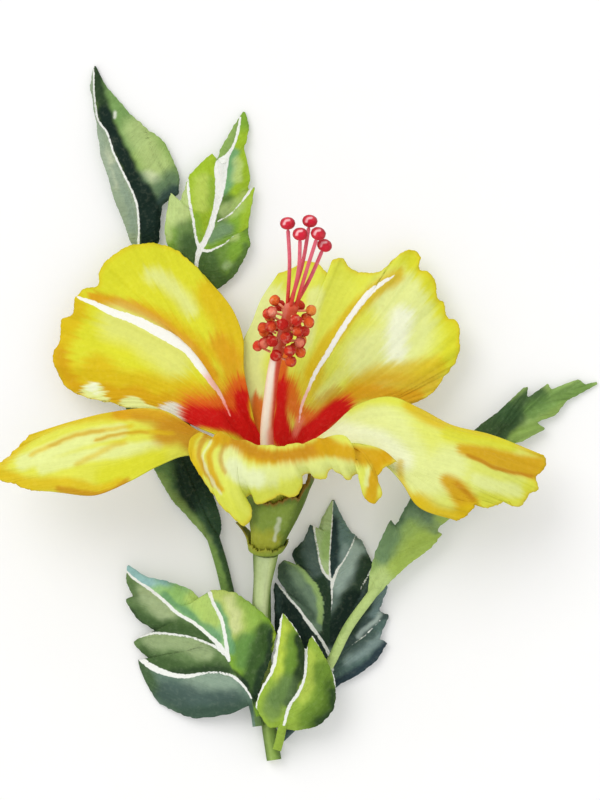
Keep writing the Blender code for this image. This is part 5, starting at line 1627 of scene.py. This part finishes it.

# %% [markdown]
# The column is cream on the left and flushes orange-red on the right, a painted shade down that side.

# %% The staminal column
COLUMN = (
    ((-0.2, -24.9, 11.3), 1.7),
    ((0.5, -22.0, 12.5), 2.3),
    ((1.3, -17.0, 14.8), 2.1),
    ((1.2, -8.0, 18.9), 1.8),
    ((-0.2, 0.0, 22.5), 1.7),
    ((0.5, 12.0, 27.8), 1.55),
    ((1.9, 21.0, 31.8), 1.5),
    ((3.8, 27.5, 34.7), 1.5),
    ((5.9, 34.5, 38.0), 1.8),
)
COLUMN_CREAM = tint(246, 232, 216)
COLUMN_PINK = tint(240, 176, 150)
STYLE_RED = tint(212, 58, 34)
# cream, with painted shade turning orange-red down the right side
COLUMN_COLOURS = (tint(240, 206, 180), COLUMN_CREAM, COLUMN_CREAM, COLUMN_PINK, STYLE_RED)
COLUMN_STROKES = (
    # painted shade down the column's right side
    (STYLE_RED, 0.9, 0.1, 0.6, (
        (1.4, 4, 0.0), (2.2, 12, 0.3), (3.3, 20, 0.9), (4.6, 26, 1.0), (6.5, 34, 1.0),
    )),
    (tint(214, 84, 52), 0.85, 1.4, 1.8, ((3, 23.5), (4, 28), (6, 34))),
    (ROSE, 0.5, 0.3, 1.2, ((0.8, -1), (0.9, 3))),
)
add_tube(
    "staminal_column", COLUMN_SKIN, COLUMN, rings=240, sides=44, girth=1.6,
    colours=COLUMN_COLOURS, strokes=COLUMN_STROKES,
)

# %% [markdown]
# ## Stamens
# Each stamen is a short filament with a plump two-celled anther, dusty with pollen. They spiral up the
# column by the golden angle. One ring tube holds filament and anther together. A groove and small
# grains are pressed into it, and it is orange where it faces the light and dark red at its edge.

# %% Stamens
STAMENS = 32
STAMEN_SPAN = (0.785, 0.98)
GOLDEN_ANGLE = 137.5
FIRST_STAMEN = 40.0
STAMEN_START = 1.95
STAMEN_RISE = 0.22
FILAMENT_RADIUS = 0.3
FILAMENT_LENGTHS = (1.7, 2.0, 2.3)
FILAMENT_RINGS = 6
FILAMENT_ORANGE = tint(238, 150, 110)
ANTHER_LENGTH = 2.5
ANTHER_RADIUS = 1.5
ANTHER_SIDES = 32
ANTHER_RINGS = (10, 14)
ANTHER_GRAINS = 0.025
GRAIN_PACE = 5.2
GROOVE_DEPTH = 0.2
GROOVE_WIDTH = 0.25
ANTHER_TOP_LIGHT = 1.25
ANTHER_LEFT_LIGHT = 0.2
ANTHER_SHADE = 0.15
ANTHER_RED = tint(190, 22, 12)
ANTHER_LIGHTS = (
    tint(226, 84, 32), tint(220, 60, 30), tint(236, 110, 40), tint(234, 138, 56), tint(216, 52, 34),
    tint(232, 96, 36), tint(238, 132, 104),
)


def column_frame(at):
    """A point on the column's middle line, its direction, and two directions across it."""
    path = [point for point, _ in COLUMN]
    back, here, ahead = spline(path, (max(at - 0.01, 0.0), at, min(at + 0.01, 1.0)))
    along = unit(ahead - back)
    side = unit(np.cross(along, (0.0, 0.0, 1.0)))
    return here, along, side, np.cross(side, along)


def swelling(length, radius, steps=26):
    """Distances along an egg, and its radius at each."""
    turn = np.linspace(0.12, math.pi - 0.02, steps)
    return length * (1.0 - np.cos(turn)) / 2.0, radius * np.sin(turn) ** 0.9


def outward(grid):
    """Unit directions from each ring's middle to its points."""
    return unit(grid - grid.mean(axis=1, keepdims=True))


def ramp(grid, first, last):
    """A share for each point that grows from 0 at one ring to 1 at another."""
    return np.interp(np.arange(len(grid)), (first, last), (0.0, 1.0))[:, None] * np.ones(grid.shape[1])


def pressed(grid, share, size, seed):
    """Grains pressed into a surface: each point moves a little out from its ring's middle."""
    x, y, z = np.moveaxis(grid * GRAIN_PACE + seed, -1, 0)
    grains = np.sin(x) * np.sin(y + 1.1) + np.sin(z * 1.3 + 0.4) * np.sin(x * 0.7 + y)
    return grid + outward(grid) * (share * size * grains)[..., None]


def add_stamen(k):
    low, high = STAMEN_SPAN
    here, along, side, front = column_frame(low + (high - low) * k / (STAMENS - 1))
    turn = math.radians(GOLDEN_ANGLE * k + FIRST_STAMEN)
    out = math.cos(turn) * side + math.sin(turn) * front + STAMEN_RISE * along
    length = FILAMENT_LENGTHS[k % len(FILAMENT_LENGTHS)]
    egg, swell = swelling(ANTHER_LENGTH, ANTHER_RADIUS)
    reach = np.concatenate((np.linspace(0.0, length - 0.1, FILAMENT_RINGS), length + egg))
    radii = np.concatenate((np.full(FILAMENT_RINGS, FILAMENT_RADIUS), swell))
    points = here + out * (STAMEN_START + reach)[:, None]
    grid, angle = tube_grid(points, radii, ANTHER_SIDES)
    share = ramp(grid, *ANTHER_RINGS)
    grid = pressed(grid, share, ANTHER_GRAINS, k)
    groove = GROOVE_DEPTH * np.exp(-((np.sin(angle)[None, :] / GROOVE_WIDTH) ** 2)) * share
    grid = grid - outward(grid) * groove[..., None]
    x, _, z = np.moveaxis(outward(grid), -1, 0)
    lit = ease(ANTHER_TOP_LIGHT * z - ANTHER_LEFT_LIGHT * x - ANTHER_SHADE).reshape(-1, 1)
    paint = ANTHER_RED + lit * (ANTHER_LIGHTS[k % len(ANTHER_LIGHTS)] - ANTHER_RED)
    paint[: (END_RINGS + FILAMENT_RINGS) * len(angle)] = FILAMENT_ORANGE
    return add_skin(f"stamen_{k + 1:02d}", grid, (ANTHER_DUST,), paint)


stamens = [add_stamen(k) for k in range(STAMENS)]
print("stamens:", len(stamens), "faces each:", len(stamens[0].data.polygons))

# %% [markdown]
# ## Styles and stigmas
# Five branches leave the column's tip and each ends in a round velvet stigma. The branches are pink and
# turn orange-red toward the column. A stigma is crimson, darker at its sides with painted shade, and has a
# pale crescent on its upper left that is a painted highlight.

# %% Styles and stigmas
STYLES = (
    (170.0, (5.4, 46.0, 41.5), (5.0, 53.6, 42.5)),
    (98.0, (7.8, 45.0, 43.0), (8.0, 51.0, 45.3)),
    (242.0, (8.8, 46.0, 40.6), (10.2, 54.2, 42.2)),
    (26.0, (9.8, 44.0, 42.0), (12.1, 51.2, 45.3)),
    (314.0, (10.5, 41.5, 39.2), (13.5, 48.3, 41.2)),
)
STYLE_RING = 1.15
STYLE_GAP = 0.35
STYLE_RADIUS = 0.48
STYLE_RINGS = 39
STIGMA_LENGTH = 3.1
STIGMA_RADIUS = 1.9
STIGMA_SIDES = 32
STIGMA_RINGS = (44, 48)
STIGMA_GRAINS = 0.03
STIGMA_SHADE = 0.8
FLUSH_RINGS = (8, 30)
STYLE_PINK = tint(226, 104, 122)
CRIMSON = tint(214, 26, 54)
DARK_CRIMSON = tint(156, 10, 30)
CRESCENT = ((-0.9, -0.2), (-0.5, 0.6), (0.4, 0.8))
CRESCENT_PINK = tint(246, 190, 196)


def add_style(k):
    angle, middle, end = STYLES[k]
    tip, along, side, front = column_frame(1.0)
    turn = math.radians(angle)
    start = tip + STYLE_GAP * along + STYLE_RING * (math.cos(turn) * side + math.sin(turn) * front)
    stalk = spline((start, middle, end), np.linspace(0.0, 1.0, STYLE_RINGS + 1))
    onward = unit(stalk[-1] - stalk[-2])
    egg, swell = swelling(STIGMA_LENGTH, STIGMA_RADIUS)
    points = np.vstack((stalk[:-1], stalk[-1] + onward * egg[:, None]))
    radii = np.concatenate((np.full(STYLE_RINGS, STYLE_RADIUS), swell))
    grid, spin = tube_grid(points, radii, STIGMA_SIDES)
    share = ramp(grid, *STIGMA_RINGS)
    grid = pressed(grid, share, STIGMA_GRAINS, 3.0 * k)
    flush = np.interp(np.arange(len(grid)), FLUSH_RINGS, (1.0, 0.0)).repeat(len(spin))[:, None]
    paint = STYLE_PINK + flush * (STYLE_RED - STYLE_PINK)
    # Painted shade: the stigma darkens at its sides, where it turns away from above.
    rim = ease(1.0 - outward(grid)[..., 2]).reshape(-1, 1)
    velvet = CRIMSON + rim * STIGMA_SHADE * (DARK_CRIMSON - CRIMSON)
    paint = paint + share.reshape(-1, 1) * (velvet - paint)
    centre = stalk[-1] + onward * STIGMA_LENGTH / 2
    # A painted highlight: a pale crescent on the stigma's upper left.
    stroke = (CRESCENT_PINK, 0.9, 0.12, 0.22, [centre[:2] + step for step in CRESCENT])
    plan = plan_of(grid)
    upper = (grid[:, :, 2].reshape(-1) > centre[2]) & (share.reshape(-1) > 0.5)
    paint[upper] = brush(paint[upper], plan[upper], (stroke,))
    return add_skin(f"style_{k + 1}", grid, (STIGMA_VELVET,), paint)


styles = [add_style(k) for k in range(len(STYLES))]
print("styles:", len(styles), "faces each:", len(styles[0].data.polygons))

# %% [markdown]
# ## Calyx and epicalyx
# Under the flower sits a green cup with pointed sepals, and round its foot a collar of seven narrow
# bracts. Both are thin-walled, so each is a grid of rings that runs up the outside and back down the
# inside. The fine skin adds ribs, and a torn brown edge.

# %% Calyx and epicalyx: the cup
CALYX_TURNS = 216
CALYX_LEVELS = 56
CALYX_SIDE = (
    (0.0, 3.5), (2.0, 4.2), (5.0, 4.8), (9.0, 5.9), (13.0, 6.9), (17.0, 7.8), (20.0, 8.8),
)
CALYX_FLARE = 0.16
FLARE_ANGLE = 10.0
FLARE_FROM = 6.0
FLARE_TO = 20.0
CALYX_WALL = 0.7
CALYX_FLOOR_RADIUS = 1.2
CALYX_RIM = 16.6
SEPALS = (
    (62, 18.8, 26, 1.0), (140, 18.8, 18, 0.9), (205, 18.0, 34, 1.2), (285, 18.0, 34, 1.2),
    (18, 22.6, 24, 0.4),
)
TORN_WAVES = ((0.22, 23.0, 0.0), (0.16, 41.0, 1.0), (0.12, 67.0, 0.0))
RIBS = 15
RIB_HEIGHT = 0.09
EPICALYX_TURNS = 294
EPICALYX_LEVELS = 26
EPICALYX_FOOT = 0.5
EPICALYX_GAP = 0.35
EPICALYX_WALL = 0.55
EPICALYX_RIM = 2.0
LONG_BRACT = 198.0
BRACTS = tuple((LONG_BRACT + 360.0 * k / 7, 2.8 if k else 7.0, 22, 1.1) for k in range(7))
BEND_FROM = 1.5
BEND_SPAN = 5.0
BEND_ALL = 0.1
BEND_LONG = 3.0


def rim_height(angle, lobes, low):
    """How far up the axis a lobed rim stands at this angle."""
    height = low
    for middle, tip, half, point in lobes:
        off = abs((angle - middle + 180.0) % 360.0 - 180.0)
        height = max(height, low + (tip - low) * max(0.0, 1.0 - off / half) ** point)
    return height


def torn(angle):
    """Small teeth along a rim."""
    turn = math.radians(angle)
    return sum(height * math.sin(count * turn + start) for height, count, start in TORN_WAVES)


def side_radius(angle, along):
    """The calyx's outer radius at this angle and this far up the axis: it flares to its right."""
    rise = (min(along, FLARE_TO) - FLARE_FROM) / (FLARE_TO - FLARE_FROM)
    flare = 1.0 + CALYX_FLARE * max(0.0, math.cos(math.radians(angle - FLARE_ANGLE))) * rise
    steps = np.array(CALYX_SIDE)
    return float(np.interp(along, steps[:, 0], steps[:, 1])) * flare


def bract_bend(angle, along):
    """How far the long bract stands off the calyx. The others stay close to it."""
    bend = BEND_ALL + BEND_LONG * max(0.0, math.cos(math.radians(angle - LONG_BRACT))) ** 4
    return bend * (max(0.0, along - BEND_FROM) / BEND_SPAN) ** 2


def cup_rings(turns, levels, lobes, low, foot, inner_radius, outer_radius, floor):
    """Rings up the outside and back down the inside, with each point's distance under the rim."""
    outer, inner, under = [], [], []
    for step in np.linspace(0.0, 1.0, levels):
        outside, inside_wall, left = [], [], []
        for k in range(turns):
            angle = 360.0 * k / turns
            rim = rim_height(angle, lobes, low) + torn(angle)
            along = foot + step * (rim - foot)
            outside.append(around(angle, outer_radius(angle, along), along))
            inside_wall.append(around(angle, inner_radius(angle, along), max(along, foot + floor)))
            left.append(rim - along)
        outer.append(outside)
        inner.append(inside_wall)
        under.append(left)
    return np.array(outer), np.array(inner), np.array(under)


def calyx_outer(angle, along):
    return side_radius(angle, along) + RIB_HEIGHT * math.cos(math.radians(angle) * RIBS)


def calyx_inner(angle, along):
    return side_radius(angle, along) - CALYX_WALL


def bract_inner(angle, along):
    return side_radius(angle, along) + EPICALYX_GAP + bract_bend(angle, along)


def bract_outer(angle, along):
    return bract_inner(angle, along) + EPICALYX_WALL


tips = [round(tip, 1) for _, tip, _, _ in SEPALS + BRACTS]
print("sepal and bract tips up the flower's axis:", tips)

# %% [markdown]
# The cup is mid green, yellow at its lower left, with a pale streak that is a painted highlight. Painted
# shade darkens its left and right edges and runs up the long sepal, a painted shadow lies under the front
# petal's margin, and its torn rim is scorched brown.

# %% Calyx and epicalyx: paint
CALYX_GREEN = tint(112, 136, 46)
CALYX_DARK = tint(64, 84, 20)
CALYX_BROWN = tint(150, 104, 36)
CALYX_WANDER = (0.25, 0.9, 0.2)
CALYX_SCORCH = 0.75
EPICALYX_GREEN = tint(134, 154, 56)
EPICALYX_SCORCH = 0.15
EPICALYX_SHRINK = 1.4
SCORCH_WIDTH = 0.75
CALYX_STROKES = (
    (tint(140, 162, 66), 0.7, 1.6, 2.4, ((-2, -20), (1, -19), (4, -17.5))),
    (tint(170, 172, 52), 0.8, 1.2, 2.0, ((-6, -21), (-4, -23.5), (-1.5, -24.5), (1, -23.8))),
    # painted shade along the right edge up to the long sepal, then along the left edge
    (CALYX_DARK, 0.6, 0.5, 1.6, ((5, -24), (6.8, -20), (8, -16), (9, -12.5), (10.5, -8.5))),
    (CALYX_DARK, 0.7, 0.6, 1.8, ((-5, -15), (-4.6, -18), (-5.6, -20.5))),
    # a painted shadow under the front petal's margin
    (CALYX_DARK, 0.7, 0.5, 1.4, ((-2.5, -14.2), (1, -13.6), (5, -12.8))),
    # a painted highlight streak
    (tint(208, 214, 184), 0.7, 0.12, 0.5, ((2.6, -18.6), (2.4, -21), (1.5, -23.8))),
)


# The bracts share the calyx's painted light and shade, and the long bract's tip is brownish.
EPICALYX_STROKES = CALYX_STROKES + ((tint(120, 110, 40), 0.6, 0.5, 1.2, ((-8, -20), (-6.5, -22))),)


def scorched(paint, under, strength):
    """Brown along the torn rim, fading a millimetre down."""
    share = strength * np.exp(-((under.reshape(-1) / SCORCH_WIDTH) ** 2))
    return paint + share[:, None] * (CALYX_BROWN - paint)


def add_calyx():
    outer, inner, under = cup_rings(
        CALYX_TURNS, CALYX_LEVELS, SEPALS, CALYX_RIM, 0.0, calyx_inner, calyx_outer, CALYX_WALL
    )
    turns = [360.0 * k / CALYX_TURNS for k in range(CALYX_TURNS)]
    floor = np.array([[around(turn, CALYX_FLOOR_RADIUS, CALYX_WALL) for turn in turns]])
    grid = np.concatenate((outer, inner[:0:-1], floor))
    left = np.concatenate((under, under[:0:-1], under[:1]))
    plan = plan_of(grid)
    paint = brush(wash(CALYX_GREEN, plan), plan + wander(plan, *CALYX_WANDER), CALYX_STROKES)
    return add_skin("calyx", grid, (STALK_SKIN,), scorched(paint, left, CALYX_SCORCH))


def add_epicalyx():
    outer, inner, under = cup_rings(
        EPICALYX_TURNS, EPICALYX_LEVELS, BRACTS, EPICALYX_RIM, EPICALYX_FOOT, bract_inner, bract_outer, 0.0
    )
    grid = np.concatenate((outer, inner[::-1]))
    left = np.concatenate((under, under[::-1])) * EPICALYX_SHRINK
    plan = plan_of(grid)
    paint = brush(wash(EPICALYX_GREEN, plan), plan, EPICALYX_STROKES)
    paint = scorched(paint, left, EPICALYX_SCORCH)
    return add_skin("epicalyx", grid, (STALK_SKIN,), paint, loop=True)


tell(add_calyx())
tell(add_epicalyx())

# %% [markdown]
# ## Floor, light and camera
# A pale matt floor takes a soft shadow. It glows a little, like a light table, to keep the shadow pale.
# A bright even sky with one large lamp from the upper left gives studio light that models the petals
# without hard edges. The camera looks straight down through a very long lens, so the sprig keeps the
# same proportions over its whole depth.

# %% Floor, light and camera
FLOOR_SIDE = 3.0
FLOOR_FLECK = (0.8, 0.8, 0.795, 1.0)
FLOOR_PALE = (0.82, 0.82, 0.82, 1.0)
FLOOR_GLOW = 0.17
FLOOR_ROUGHNESS = 0.95
FLOOR_GLOSS = 0.05
FLECK_PACE = 60.0
PURE_WHITE = (1.0, 1.0, 1.0, 1.0)
SKY_STRENGTH = 0.82
LAMP_STRENGTH = 0.95
LAMP_SPREAD = math.radians(40.0)
LAMP_COLOUR = (1.0, 0.985, 0.96)
LAMP_FROM = Vector((-0.55, 0.6, 1.0))
VIEW_CENTRE = (1.2 * MM, 3.4 * MM, 15.0 * MM)
VIEW_HEIGHT = 0.2
LENS = 800.0
SENSOR = 36.0


def add_floor():
    mesh = bpy.data.meshes.new("floor")
    corners = [(x * FLOOR_SIDE / 2, y * FLOOR_SIDE / 2, 0) for x, y in ((-1, -1), (1, -1), (1, 1), (-1, 1))]
    mesh.from_pydata(corners, [], [(0, 1, 2, 3)])
    floor = bpy.data.objects.new("floor", mesh)
    bpy.context.scene.collection.objects.link(floor)
    surface = bpy.data.materials.new("floor_paper")
    surface.use_nodes = True
    tree = surface.node_tree
    shader = tree.nodes["Principled BSDF"]
    place = tree.nodes.new("ShaderNodeTexCoord").outputs["Object"]
    light = mix_colour(tree, "MIX", noise(tree, place, FLECK_PACE, 3.0), FLOOR_FLECK, FLOOR_PALE)
    fill(tree, shader, Base_Color=light, Roughness=FLOOR_ROUGHNESS, Specular_IOR_Level=FLOOR_GLOSS)
    fill(tree, shader, Emission_Color=PURE_WHITE, Emission_Strength=FLOOR_GLOW)
    mesh.materials.append(surface)


def add_light():
    world = bpy.data.worlds.new("studio")
    bpy.context.scene.world = world
    world.use_nodes = True
    fill(world.node_tree, world.node_tree.nodes["Background"], Color=PURE_WHITE, Strength=SKY_STRENGTH)
    lamp = bpy.data.lights.new("key", "SUN")
    lamp.energy = LAMP_STRENGTH
    lamp.angle = LAMP_SPREAD
    lamp.color = LAMP_COLOUR
    key = bpy.data.objects.new("key", lamp)
    key.rotation_euler = LAMP_FROM.to_track_quat("Z", "Y").to_euler()
    bpy.context.scene.collection.objects.link(key)


def add_camera():
    data = bpy.data.cameras.new("camera")
    data.lens = LENS
    data.sensor_width = SENSOR
    data.clip_start = 0.1
    data.clip_end = 20.0
    camera = bpy.data.objects.new("camera", data)
    away = VIEW_HEIGHT * LENS / SENSOR
    camera.location = (VIEW_CENTRE[0], VIEW_CENTRE[1], VIEW_CENTRE[2] + away)
    bpy.context.scene.collection.objects.link(camera)
    bpy.context.scene.camera = camera
    return away


add_floor()
add_light()
bpy.context.scene.view_settings.view_transform = "Standard"
print("camera height in metres:", round(add_camera(), 3))

# %% [markdown]
# ## The end
# The skins must fill the same box as the solids. The view layer is brought up to date.

# %% The end
bpy.context.view_layer.update()
